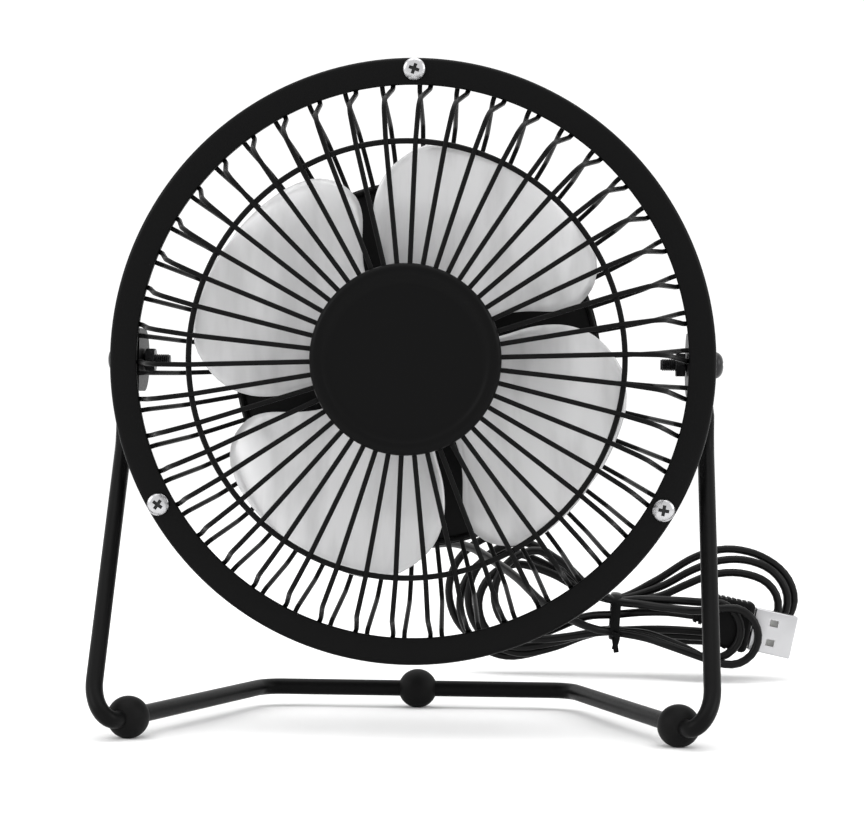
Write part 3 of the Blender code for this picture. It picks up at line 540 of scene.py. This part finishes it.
def make_stand():
    half = rod_path()
    other = [(Vector((-point.x, point.y, point.z)), a, b) for point, a, b in reversed(half)]
    rear = Vector((0.0, BAR_CORNER.y, FOOT.z))
    rod = piece("stand_rod", skin(half + round_rod([rear]) + other, 20), "black_paint", "stand",
                ("stand_frame",))
    bore = turn(cylinder(1.7 * MM, -80.0 * MM, 80.0 * MM), 90.0, "Z")
    applied(rod, moved(bore, (0.0, CENTRE.y + PIVOT.y, CENTRE.z)))
    arm = (BAR_CORNER - FOOT).normalized()
    balls = (("foot_front_left", Vector((-FOOT.x, FOOT.y, FOOT.z)), Vector((-arm.x, arm.y, 0.0))),
             ("foot_front_right", FOOT, arm),
             ("foot_rear", rear, Vector((1.0, 0.0, 0.0))))
    for name, at, along in balls:
        shape = bmesh.new()
        bmesh.ops.create_uvsphere(shape, u_segments=64, v_segments=32, radius=FOOT_R)
        aim = Vector((0.0, 0.0, 1.0)).rotation_difference(along).to_matrix().to_4x4()
        bmesh.ops.transform(shape, matrix=aim, verts=shape.verts)
        for vert in shape.verts:
            vert.co.z = max(vert.co.z, -at.z)
        piece(name + "_ball", shape, "black_rubber", "stand", (name,), offset=at, sharp=60.0)


# ---------------------------------------------------------------- ring and guards

def wire_curve(name, lines, radius, body, replaced, sides=3):
    """Round wires as one curve piece. A line is its points, whether it closes, and its thickness."""
    curve = bpy.data.curves.new(name, "CURVE")
    curve.dimensions = "3D"
    curve.bevel_depth = radius
    curve.bevel_resolution = sides
    curve.use_fill_caps = True
    for points, closed, thickness in lines:
        spline = curve.splines.new("POLY")
        spline.points.add(len(points) - 1)
        for target, point in zip(spline.points, points):
            target.co = (*point, 1.0)
            target.radius = thickness
        spline.use_cyclic_u = closed
        spline.use_smooth = True
    curve.materials.append(FINISHES["black_paint"])
    made = bpy.data.objects.new(name, curve)
    bpy.context.collection.objects.link(made)
    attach(made, body)
    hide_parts(*replaced)
    return made


def softened(path, radius, steps=5):
    """Replace each corner of a (radius, y) path by a short curve."""
    result = [Vector(path[0])]
    for before, here, after in zip(path, path[1:], path[2:]):
        result += corner_curve(Vector(before), Vector(here), Vector(after), radius, steps)
    result.append(Vector(path[-1]))
    return result


def circle(radius, y, steps=160):
    return [CENTRE + polar(radius, 360.0 * step / steps, y) for step in range(steps)]


def guard_wires(path, first, twists=()):
    """The radial wires of a guard. Its twists are (radius, degrees) pairs, read evenly between them."""
    lines = []
    for count in range(WIRE_COUNT):
        points = []
        for point in path:
            twist = 0.0
            for (low, low_turn), (high, high_turn) in zip(twists, twists[1:]):
                share = min(max((point.x - low * MM) / ((high - low) * MM), 0.0), 1.0)
                twist += (high_turn - low_turn) * share
            points.append(CENTRE + polar(point.x, first + twist + 360.0 * count / WIRE_COUNT, point.y))
        lines.append((points, False, 1.0))
    return lines


def make_guards():
    front = softened([(20.0 * MM, GUARD_FRONT), (MIDDLE_RING_R, GUARD_FRONT), (57.2 * MM, GUARD_FRONT),
                      (59.3 * MM, -21.6 * MM), (61.8 * MM, -10.0 * MM), (64.35 * MM, FRONT_RIM),
                      (RIM_R, FRONT_RIM)], 1.4 * MM)
    rear = softened([(44.0 * MM, GUARD_BACK), (46.2 * MM, GUARD_BACK), (52.5 * MM, 26.8 * MM),
                     (58.2 * MM, 23.2 * MM), (64.1 * MM, REAR_RIM), (RIM_R, REAR_RIM)], 1.8 * MM)
    sweep = ((49.4, 0.0), (57.0, -0.3), (59.3, -0.5), (64.3, -1.25), (66.4, -1.5))
    lines = guard_wires(front, 1.9, sweep)
    lines.append((circle(MIDDLE_RING_R, GUARD_FRONT + 1.05 * MM), True, 1.12))
    lines.append((circle(RIM_R + 0.1 * MM, FRONT_RIM + 0.1 * MM), True, 0.9))
    lines.append((circle(19.9 * MM, GUARD_FRONT), True, 1.0))
    wire_curve("front_guard_wires", lines, WIRE_R, "head", ("front_guard",))
    lines = guard_wires(rear, 2.9)
    lines.append((circle(44.1 * MM, GUARD_BACK), True, 1.0))
    lines.append((circle(RIM_R + 0.1 * MM, REAR_RIM + 0.1 * MM), True, 0.9))
    wire_curve("rear_guard_wires", lines, WIRE_R, "head", ("rear_guard",))


def make_ring():
    """The ring's channel with its rounded edges, and the flat ring behind it with its two ears."""
    wall = 0.8 * MM
    back = 5.2 * MM
    inner = 65.0 * MM
    web = 0.9 * MM
    channel = [(inner, 0.0), (RING_R, 0.0), (RING_R, back), (RING_R - wall, back), (RING_R - wall, web),
               (inner, web)]
    outline = []
    steps = 5
    for index, radius in enumerate((0.4, 1.3, 0.3, 0.3, 0.5, 0.3)):
        first = index * (steps + 1)
        outline += rounded(channel, radius * MM, steps)[first:first + steps + 1]
    ring = piece("ring_channel", turned(outline, 200), "black_paint", "head", ("front_ring",),
                 offset=CENTRE)
    plate_in, plate_out = 65.6 * MM, RING_R - wall - 0.3 * MM
    plate_front, plate_back = 4.4 * MM, 5.4 * MM
    plate = [(plate_in, plate_front), (plate_out, plate_front), (plate_out, plate_back),
             (plate_in, plate_back)]
    rear = piece("ring_back", turned(rounded(plate, 0.2 * MM, 2), 160), "black_paint", "head",
                 ("rear_ring",), offset=CENTRE)
    half = 7.5 * MM
    ear_steps = 24
    for side in (-1.0, 1.0):
        ear_x = side * 65.1 * MM
        outline = [Vector((ear_x, 4.7 * MM, -half)), Vector((ear_x, 4.7 * MM, half))]
        for step in range(ear_steps + 1):
            angle = math.pi * step / ear_steps
            outline.append(Vector((ear_x, PIVOT.y + half * math.sin(angle), half * math.cos(angle))))
        applied(rear, moved(extruded(outline, (side * 1.2 * MM, 0.0, 0.0)), CENTRE), "UNION")
    bore = turn(cylinder(1.8 * MM, -70.0 * MM, 70.0 * MM), 90.0, "Z")
    applied(rear, moved(bore, CENTRE + PIVOT))
    holes = [moved(cylinder(1.5 * MM, -1.0 * MM, 7.0 * MM, 24), CENTRE + polar(SCREW_CIRCLE_R, degrees))
             for _, degrees in RING_SCREWS]
    both = join(*holes)
    applied(rear, both.copy())
    applied(ring, both)


# ---------------------------------------------------------------- screws

RECESS_DEEP = 0.9 * MM
UNDER_HEAD = 0.3 * MM


def cross_recess(head_r, front):
    """A cutter for the cross in a screw's head, whose top is at y = front."""
    arm = head_r * 0.48
    slot = head_r * 0.15
    outline = []
    for quarter in range(4):
        quarter_turn = Matrix.Rotation(math.radians(90.0 * quarter), 3, "Y")
        for x, z in ((slot, slot), (slot, arm), (-slot, arm)):
            outline.append(quarter_turn @ Vector((x, front - RECESS_DEEP, z)))
    outline.sort(key=lambda point: math.atan2(point.z, point.x))
    return extruded(outline, (0.0, 2.0 * RECESS_DEEP, 0.0))


def screw_shape(head_r, height, shank_r, length, pitch=0.5):
    """A pan head with a ridged shank. The head's underside is a little in front of y = 0."""
    under = -UNDER_HEAD
    profile = [(0.0, under - height)]
    for step in range(1, 9):
        angle = math.radians(90.0 * step / 8)
        dome = 0.35 + 0.65 * math.cos(angle) ** 1.1
        profile.append((head_r * math.sin(angle) ** 0.75, under - height * dome))
    profile += [(head_r, under - 0.1 * MM), (head_r - 0.1 * MM, under), (shank_r, under)]
    y = 0.6 * MM
    while y < length - 0.5 * MM:
        profile += [(shank_r, y), (shank_r * 0.84, y + pitch * 0.5 * MM)]
        y += pitch * MM
    profile += [(shank_r * 0.8, length), (0.0, length)]
    return turned(profile, 40)


def make_screw(name, sizes, finish, turn_degrees, offset, twist):
    """A screw with a cross recess, whose faces get the dark black_steel finish as painted shade in the
    recess.
    """
    head_r, height, shank_r, length = sizes
    shape = turn(screw_shape(head_r, height, shank_r, length), turn_degrees, "Z")
    recess = turn(cross_recess(head_r, -UNDER_HEAD - height), twist, "Y")
    made = piece(name + "_detail", shape, finish, "head", (name,), offset=offset, sharp=40.0)
    applied(made, moved(turn(recess, turn_degrees, "Z"), offset))
    # Painted shade: the recess's floor and walls get the dark black_steel finish so the cross reads dark.
    made.data.materials.append(FINISHES["black_steel"])
    outward = Matrix.Rotation(math.radians(turn_degrees), 3, "Z") @ Vector((0.0, -1.0, 0.0))
    floor_at = UNDER_HEAD + height - RECESS_DEEP
    for face in made.data.polygons:
        away = face.center - offset
        along = away.dot(outward)
        aside = (away - outward * along).length
        facing = face.normal.dot(outward)
        floor = facing > 0.95 and abs(along - floor_at) < 0.1 * MM
        wall = abs(facing) < 0.3 and along > floor_at
        if aside < head_r * 0.55 and (floor or wall):
            face.material_index = 1
    return made


def make_screws():
    """Screws as (head radius, head height, shank radius, length), each turned a little by a twist given
    one by one.
    """
    ring = (2.65 * MM, 1.35 * MM, 1.2 * MM, 8.6 * MM)
    for (name, degrees), twist in zip(RING_SCREWS, (20.0, 35.0, 10.0)):
        at = CENTRE + polar(SCREW_CIRCLE_R, degrees)
        make_screw("ring_screw_" + name, ring, "zinc_steel", 0.0, at, twist)
    eye_face = 70.6 * MM
    pivot = (3.2 * MM, 3.0 * MM, 1.5 * MM, eye_face - 58.9 * MM)
    washer_in, washer_out = 1.8 * MM, 4.2 * MM
    for name, side in SIDES:
        at = CENTRE + PIVOT + Vector((side * eye_face, 0.0, 0.0))
        make_screw("pivot_screw_" + name, pivot, "black_steel", side * 90.0, at, 15.0)
        start, end = sorted(abs(corner[0]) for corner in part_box("pivot_spacer_" + name))
        washer = [(washer_in, start), (washer_out, start), (washer_out, end), (washer_in, end)]
        shape = turn(turned(rounded(washer, 0.35 * MM, 3), 48), -side * 90.0, "Z")
        piece("pivot_washer_" + name, shape, "black_rubber", "head", ("pivot_spacer_" + name,),
              offset=CENTRE + PIVOT)
    cover = (2.6 * MM, 1.3 * MM, 1.2 * MM, 11.0 * MM)
    for name, side in SIDES:
        at = Vector((side * COVER_SCREW_X, COVER_BACK, CENTRE.z))
        make_screw("cover_screw_" + name, cover, "zinc_steel", 180.0, at, 30.0)


def make_nut(name, offset, turn_degrees, start, end, corner, finish):
    """A chamfered hexagon nut, from start to end along its axis."""
    chamfer = 0.35 * MM
    flat_r = corner * 0.86
    prism = cylinder(corner, start, end, 6)
    barrel = [(0.0, start), (flat_r, start), (corner, start + chamfer), (corner, end - chamfer),
              (flat_r, end), (0.0, end)]
    nut = piece(name + "_detail", turn(prism, turn_degrees, "Z"), finish, "head", (name,), offset=offset)
    applied(nut, moved(turn(turned(barrel, 48), turn_degrees, "Z"), offset), "INTERSECT")
    bore = cylinder(1.5 * MM, start - MM, end + MM, 32)
    applied(nut, moved(turn(bore, turn_degrees, "Z"), offset))


def make_nuts():
    """The nuts behind the ring and inside the ears."""
    for side_name, degrees in RING_SCREWS:
        name = "ring_nut_" + side_name
        start, end = (corner[1] - CENTRE.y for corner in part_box(name))
        make_nut(name, CENTRE + polar(SCREW_CIRCLE_R, degrees), 0.0, start, end, 2.8 * MM, "zinc_steel")
    for side_name, side in SIDES:
        name = "pivot_nut_" + side_name
        start, end = sorted(abs(corner[0]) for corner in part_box(name))
        make_nut(name, CENTRE + PIVOT, -side * 90.0, start, end, 3.15 * MM, "black_steel")


# ---------------------------------------------------------------- cap, plate and cover

def make_cap():
    """The cap's dished face inside its raised rim, and the clip that holds it from behind."""
    wires = GUARD_FRONT - WIRE_R
    front = wires - 2.4 * MM
    cap_r = 21.7 * MM
    boss_r = 5.0 * MM
    profile = [(0.0, wires - 1.5 * MM), (17.2 * MM, wires - 1.5 * MM), (18.2 * MM, wires - 1.75 * MM),
               (19.1 * MM, front + 0.14 * MM), (20.0 * MM, front), (20.8 * MM, front + 0.16 * MM),
               (21.45 * MM, front + 0.6 * MM), (cap_r, front + 1.2 * MM), (cap_r, wires - 0.3 * MM),
               (boss_r, wires - 0.3 * MM), (boss_r, wires + 2.2 * MM), (0.0, wires + 2.2 * MM)]
    piece("centre_cap", turned(rounded(profile, 0.5 * MM, 4), 160), "black_plastic", "head",
          ("front_cap",), offset=CENTRE)
    clip_in, clip_out = 5.3 * MM, 19.6 * MM
    clip_front = GUARD_FRONT + WIRE_R + 0.3 * MM
    clip_back = clip_front + 1.2 * MM
    clip = [(clip_in, clip_front), (clip_out, clip_front), (clip_out, clip_back), (clip_in, clip_back)]
    piece("cap_clip", turned(rounded(clip, 0.3 * MM, 2), 96), "black_plastic", "head",
          ("cap_retainer",), offset=CENTRE)


def opening(start, end, front, back):
    """A cutter for one of the plate's rounded openings, from one angle to another."""
    middle_r, half_r = 37.3 * MM, 5.0 * MM
    outline = []
    steps = 48
    for step in range(steps):
        angle = math.tau * step / steps
        wide, tall = math.cos(angle), math.sin(angle)
        squarish = (abs(wide) ** 5 + abs(tall) ** 5) ** (-1.0 / 5.0)
        outline.append(polar(middle_r + half_r * tall * squarish,
                             (start + end) / 2.0 + (end - start) / 2.0 * wide * squarish, front))
    return extruded(outline, (0.0, back - front, 0.0))


def make_plate():
    """The plate behind the blades, with four openings between its arms."""
    back = PLATE_FRONT + 1.0 * MM
    bore_r = 4.0 * MM
    outline = [(bore_r, PLATE_FRONT), (PLATE_R, PLATE_FRONT), (PLATE_R, back), (bore_r, back)]
    plate = piece("back_plate", turned(rounded(outline, 0.25 * MM, 2), 128), "black_paint", "head",
                  ("rear_plate",), offset=CENTRE)
    holes = [opening(25.0 + 90.0 * quarter, 93.5 + 90.0 * quarter, PLATE_FRONT - MM, back + MM)
             for quarter in range(4)]
    applied(plate, moved(join(*holes), CENTRE))


def make_cover():
    """The motor's round cover, with a well for the switch and two screw seats."""
    start = COVER_FRONT - CENTRE.y
    end = COVER_BACK - CENTRE.y
    wall = 1.6 * MM
    profile = [(0.0, end - wall), (COVER_R - 3.2 * MM, end - wall), (COVER_R - wall, end - 3.2 * MM),
               (COVER_R - wall, start), (COVER_R, start), (COVER_R, end - 2.8 * MM),
               (COVER_R - 0.8 * MM, end - 0.8 * MM), (COVER_R - 2.8 * MM, end), (0.0, end)]
    cover = piece("back_cover", turned(rounded(profile, 0.8 * MM, 3), 128), "black_plastic", "head",
                  ("rear_cover",), offset=CENTRE)
    well = box((-4.7 * MM, end - 8.0 * MM, -6.9 * MM), (4.7 * MM, end + 2.0 * MM, 6.9 * MM))
    applied(cover, moved(well, CENTRE))
    for side in (-1.0, 1.0):
        seat = cylinder(1.5 * MM, end - 4.0 * MM, end + 2.0 * MM, 24)
        applied(cover, moved(turn(seat, 7.0, "Y"), CENTRE + Vector((side * COVER_SCREW_X, 0.0, 0.0))))


def make_switch():
    """The switch's frame with its pocket, and the rocker in it."""
    end = COVER_BACK
    shape = box((-5.6 * MM, end + 0.3 * MM, CENTRE.z - 7.8 * MM),
                (5.6 * MM, end + 1.4 * MM, CENTRE.z + 7.8 * MM), 0.4 * MM)
    frame_piece = piece("switch_frame", shape, "black_plastic", "head", ("switch_body",))
    inner = box((-4.4 * MM, end - 7.5 * MM, CENTRE.z - 6.6 * MM),
                (4.4 * MM, end + 0.6 * MM, CENTRE.z + 6.6 * MM))
    applied(frame_piece, inner, "UNION")
    pocket = box((-3.5 * MM, end - 6.0 * MM, CENTRE.z - 5.8 * MM),
                 (3.5 * MM, end + 3.0 * MM, CENTRE.z + 5.8 * MM))
    applied(frame_piece, pocket)
    half = 3.2 * MM
    outline = [Vector((-half, -1.5 * MM, -5.0 * MM)), Vector((-half, -1.5 * MM, 5.0 * MM))]
    for step in range(13):
        z = 5.0 - 10.0 * step / 12
        outline.append(Vector((-half, (1.5 + 0.9 * (z / 5.0) ** 2) * MM, z * MM)))
    rocker = turn(extruded(outline, (2.0 * half, 0.0, 0.0)), -9.0, "X")
    made = piece("switch_key", rocker, "black_plastic", "switch", ("switch_rocker",),
                 offset=Vector((0.0, end, CENTRE.z)), sharp=40.0)
    edge = made.modifiers.new("edge", "BEVEL")
    edge.width = 0.25 * MM
    edge.segments = 2
    edge.limit_method = "ANGLE"


def make_relief(exit_point):
    """The ribbed, tapered relief that the cord leaves the cover by. Its profile runs down, along -Z."""
    top = CENTRE.z - COVER_R
    end = exit_point.z + 0.3 * MM
    profile = [(0.0, -top - 4.2 * MM), (3.3 * MM, -top - 4.2 * MM), (3.3 * MM, -top - 3.2 * MM),
               (2.2 * MM, -top - 3.2 * MM), (2.2 * MM, -top + 0.4 * MM), (2.9 * MM, -top + 0.5 * MM),
               (2.9 * MM, -top + 2.0 * MM)]
    ribs = 6
    for rib in range(ribs):
        share = (rib + 0.5) / ribs
        y = (-top + 2.0 * MM) * (1.0 - share) + (-end) * share
        radius = 2.7 * MM * (1.0 - share) + 1.7 * MM * share
        profile += [(radius * 0.86, y - 0.45 * MM), (radius * 0.86, y - 0.15 * MM), (radius, y),
                    (radius, y + 0.35 * MM)]
    profile += [(1.6 * MM, -end), (0.0, -end)]
    shape = turn(turned(profile, 40), -90.0, "X")
    piece("cord_relief", shape, "black_rubber", "head", ("strain_relief",),
          offset=Vector((exit_point.x, exit_point.y, 0.0)))


# ---------------------------------------------------------------- blades and motor

# Each row is a radius in mm and the angles of a blade's leading and trailing edges there.
ROWS = ((4.4, -45.0, 45.0), (12.0, -31.0, 44.0), (22.6, -32.8, 43.8), (29.0, -37.0, 43.9),
        (35.3, -41.5, 42.0), (40.0, -42.5, 39.0), (43.5, -41.0, 35.5), (47.0, -37.5, 30.0),
        (49.8, -31.5, 23.5), (50.9, -25.0, 16.0))


def blade_edge(radius):
    """The leading and trailing angles at a radius, read smoothly between the rows."""
    for index in range(len(ROWS) - 1):
        if radius <= ROWS[index + 1][0]:
            break
    low, high = ROWS[index], ROWS[index + 1]
    before = ROWS[max(index - 1, 0)]
    after = ROWS[min(index + 2, len(ROWS) - 1)]
    t = (radius - low[0]) / (high[0] - low[0])
    result = []
    for item in (1, 2):
        span = high[0] - low[0]
        slope_low = (high[item] - before[item]) / (high[0] - before[0])
        slope_high = (after[item] - low[item]) / (after[0] - low[0])
        value = ((2 * t ** 3 - 3 * t ** 2 + 1) * low[item] + (t ** 3 - 2 * t ** 2 + t) * span * slope_low
                 + (-2 * t ** 3 + 3 * t ** 2) * high[item] + (t ** 3 - t ** 2) * span * slope_high)
        result.append(value)
    return result


def blade_lift(radius, across):
    """How far a blade stands off its disc, from -1 at its leading edge to 1 at its trailing edge."""
    grown = min(max((radius - BLADE_ROOT_R) / 25.0, 0.0), 1.0)
    pitch = 9.0 * grown ** 0.8
    camber = 1.6 * grown * (1.0 - across * across)
    return (-pitch * across - camber) * MM


def make_blades():
    """Four blades on one pressed disc, as a sheet."""
    shape = bmesh.new()
    across_steps = 24
    along_steps = 26
    bore_r = 4.4 * MM
    radii = [BLADE_ROOT_R + (BLADE_TIP_R - BLADE_ROOT_R) * (1.0 - (1.0 - step / along_steps) ** 1.35)
             for step in range(along_steps + 1)]
    inner = []
    for petal in range(4):
        middle = 62.0 + 90.0 * petal
        previous = None
        for radius in radii:
            leading, trailing = blade_edge(radius)
            row = []
            for step in range(across_steps + 1):
                share = step / across_steps
                lift = blade_lift(radius, 2.0 * share - 1.0)
                degrees = middle + leading + (trailing - leading) * share
                row.append(shape.verts.new(polar(radius * MM, degrees, BLADE_Y + lift)))
            if previous:
                for step in range(across_steps):
                    shape.faces.new((previous[step], previous[step + 1], row[step + 1], row[step]))
            else:
                inner += row
            previous = row
    bore = []
    for vert in inner:
        flat = Vector((vert.co.x, 0.0, vert.co.z)).normalized() * bore_r
        bore.append(shape.verts.new((flat.x, BLADE_Y, flat.z)))
    count = len(inner)
    for step in range(count):
        following = (step + 1) % count
        shape.faces.new((bore[step], bore[following], inner[following], inner[step]))
    blades = piece("fan_petals", shape, "aluminium", "fan", ("fan_blades",), offset=CENTRE, sharp=50.0)
    sheet = blades.modifiers.new("sheet", "SOLIDIFY")
    sheet.thickness = 0.8 * MM
    sheet.offset = 0.0


def make_hub():
    """The hub that grips the blades' disc in a groove, and the motor's shaft through it."""
    bore_r = 1.3 * MM
    flange_r = 7.0 * MM
    neck_r = 4.0 * MM
    groove = 0.7 * MM
    hub = [(bore_r, -5.2 * MM), (5.0 * MM, -5.2 * MM), (flange_r, -4.0 * MM), (flange_r, BLADE_Y - groove),
           (neck_r, BLADE_Y - groove), (neck_r, BLADE_Y + groove), (flange_r, BLADE_Y + groove),
           (6.0 * MM, 5.5 * MM), (bore_r, 5.5 * MM)]
    piece("petal_hub", turned(rounded(hub, 0.25 * MM, 2), 64), "black_plastic", "fan", ("blade_hub",),
          offset=CENTRE)
    shaft_back = 27.2 * MM
    shaft = [(0.0, -7.5 * MM), (0.7 * MM, -7.5 * MM), (1.0 * MM, -7.1 * MM), (1.0 * MM, shaft_back),
             (0.0, shaft_back)]
    piece("drive_shaft", turned(shaft, 32), "zinc_steel", "fan", ("motor_shaft",), offset=CENTRE)


def make_motor():
    """The motor's can and the two bushes of its shaft."""
    wall = 1.0 * MM
    can_r = 14.0 * MM
    front, back = 8.5 * MM, 27.9 * MM
    can = [(3.5 * MM, front), (12.8 * MM, front), (can_r, front + 1.2 * MM), (can_r, back),
           (can_r - wall, back), (can_r - wall, front + 1.6 * MM), (3.5 * MM, front + 1.6 * MM)]
    piece("motor_shell", turned(rounded(can, 0.3 * MM, 2), 96), "zinc_steel", "head", ("motor_can",),
          offset=CENTRE)
    for name, start in (("bush_front", 7.6 * MM), ("bush_rear", 25.0 * MM)):
        end = start + 2.6 * MM
        bush = [(1.3 * MM, start), (3.2 * MM, start), (3.2 * MM, end), (1.3 * MM, end)]
        piece(name + "_detail", turned(rounded(bush, 0.2 * MM, 2), 40), "brass", "head", (name,),
              offset=CENTRE)


# ---------------------------------------------------------------- plug

def on_plug(shape):
    """Turn and move a shape that was made along +X into the plug's place."""
    return moved(turn(shape, PLUG_TURN, "Y"), PLUG_AT)


def make_plug():
    """The USB-A plug: a ribbed grip, a folded shell with its two square holes, and the white tongue."""
    grip = box((-12.0 * MM, -4.0 * MM, -7.2 * MM), (-0.3 * MM, 4.0 * MM, 7.2 * MM), 1.5 * MM, 5)
    grip_piece = piece("plug_grip", on_plug(grip), "black_plastic", "stand", ("usb_body",), sharp=50.0)
    for side in (-1.0, 1.0):
        cuts = [box(((-10.6 + 1.5 * rib) * MM, -5.0 * MM, side * 7.2 * MM - 0.35 * MM),
                    ((-9.9 + 1.5 * rib) * MM, 5.0 * MM, side * 7.2 * MM + 0.35 * MM)) for rib in range(6)]
        applied(grip_piece, on_plug(join(*cuts)))
    shell = box((0.0, -2.25 * MM, -6.0 * MM), (12.0 * MM, 2.25 * MM, 6.0 * MM), 0.35 * MM, 3)
    shell_piece = piece("plug_shell", on_plug(shell), "zinc_steel", "stand", ("usb_shell",))
    mouth = box((1.0 * MM, -1.95 * MM, -5.7 * MM), (13.0 * MM, 1.95 * MM, 5.7 * MM))
    applied(shell_piece, on_plug(mouth))
    windows = [box((4.6 * MM, -3.0 * MM, (middle - 0.95) * MM), (6.9 * MM, 3.0 * MM, (middle + 0.95) * MM))
               for middle in (-2.75, 2.75)]
    applied(shell_piece, on_plug(join(*windows)))
    tongue = box((1.3 * MM, 0.0, -5.3 * MM), (11.2 * MM, 1.6 * MM, 5.3 * MM), 0.1 * MM, 1)
    tongue_piece = piece("plug_tongue", on_plug(tongue), "white_plastic", "stand", ("usb_tongue",))
    nozzle = [(0.0, -4.6 * MM), (1.5 * MM, -4.6 * MM)]
    for rib in range(3):
        y = -4.3 + 1.4 * rib
        grow = 0.25 * rib
        nozzle += [((1.9 + grow) * MM, y * MM), ((2.0 + grow) * MM, (y + 0.8) * MM),
                   ((1.55 + grow) * MM, (y + 0.9) * MM), ((1.55 + grow) * MM, (y + 1.3) * MM)]
    nozzle += [(2.2 * MM, 0.0), (0.0, 0.0)]
    shape = turn(turned(nozzle, 32), -90.0, "Z")
    nose = piece("plug_relief", on_plug(moved(shape, (-12.0 * MM, 0.0, 0.0))), "black_plastic", "stand")
    return [grip_piece, shell_piece, tongue_piece, nose]


def make_tie():
    """The twisted tie round the middle of the hank, with its two ends hanging."""
    points = []
    for step in range(48):
        angle = math.tau * step / 48
        wide, tall = math.cos(angle), math.sin(angle)
        squarish = (wide ** 4 + tall ** 4) ** -0.25
        points.append((TIE + Vector((0.4 * tall, 6.65 * wide * squarish, 6.35 * tall * squarish)) * MM,
                       0.35 * MM, 1.4 * MM))
    band = skin(points, 10, Vector((0.0, 1.0, 0.0)), closed=True)
    ends = []
    for lean, length in ((-9.0, 4.4), (16.0, 3.6)):
        strip = box((-0.75 * MM, -0.25 * MM, -length * MM), (0.75 * MM, 0.25 * MM, 0.0), 0.12 * MM, 1)
        turn(strip, lean, "Y")
        ends.append(moved(strip, TIE + Vector((lean * 0.04, -7.6 - lean * 0.02, -5.4)) * MM))
    knot = moved(turn(box((-1.3 * MM, -0.5 * MM, -0.7 * MM), (1.3 * MM, 0.5 * MM, 0.7 * MM), 0.3 * MM, 2),
                      25.0, "Y"), TIE + Vector((0.1, -7.7, -4.9)) * MM)
    return piece("hank_tie", join(band, knot, *ends), "black_plastic", "stand", ("cable_tie",), sharp=50.0)


# ---------------------------------------------------------------- floor and light

def make_stage():
    """A pale floor, an even white surround and three soft lights."""
    mesh = bpy.data.meshes.new("floor")
    floor_shape = bmesh.new()
    bmesh.ops.create_grid(floor_shape, x_segments=1, y_segments=1, size=6.0)
    floor_shape.to_mesh(mesh)
    floor_shape.free()
    floor = bpy.data.objects.new("floor", mesh)
    mesh.materials.append(new_material("floor", (0.93, 0.93, 0.93), 0.0, 1.0, 0.0)[0])
    bpy.context.collection.objects.link(floor)
    world = bpy.data.worlds.new("studio")
    world.use_nodes = True
    world.node_tree.nodes["Background"].inputs["Color"].default_value = (1.0, 1.0, 1.0, 1.0)
    world.node_tree.nodes["Background"].inputs["Strength"].default_value = 1.12
    bpy.context.scene.world = world
    bpy.context.scene.view_settings.view_transform = "Standard"
    lights = (("overhead", (0.0, 0.05, 1.3), (0.0, 0.0, 0.0), 1.4, 9.0),
              ("left", (-1.2, -0.5, 0.7), (0.0, 0.0, 0.1), 0.7, 5.0),
              ("right", (1.2, -0.4, 0.6), (0.0, 0.0, 0.1), 0.6, 4.0))
    for name, at, target, size, power in lights:
        data = bpy.data.lights.new(name, "AREA")
        data.shape = "SQUARE"
        data.size = size
        data.energy = power
        lamp = bpy.data.objects.new(name, data)
        lamp.location = at
        aim = (Vector(target) - Vector(at)).normalized()
        lamp.rotation_mode = "QUATERNION"
        lamp.rotation_quaternion = aim.to_track_quat("-Z", "Y")
        bpy.context.collection.objects.link(lamp)


def dress_hidden():
    """The sealed motor pieces keep their CAD shape and get their finish."""
    for name, finish in (("motor_magnet", "black_steel"), ("motor_end_cap", "white_plastic"),
                         ("motor_rotor", "copper")):
        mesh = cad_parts[name].data
        mesh.materials.clear()
        mesh.materials.append(FINISHES[finish])


FINISHES = make_finishes()
make_camera()
cord, cord_points = make_cord()
make_stand()
make_ring()
make_guards()
make_screws()
make_nuts()
make_cap()
make_plate()
make_cover()
make_switch()
make_relief(cord_points[0])
make_blades()
make_hub()
make_motor()
plug_pieces = make_plug()
tie = make_tie()
dress_hidden()
make_stage()
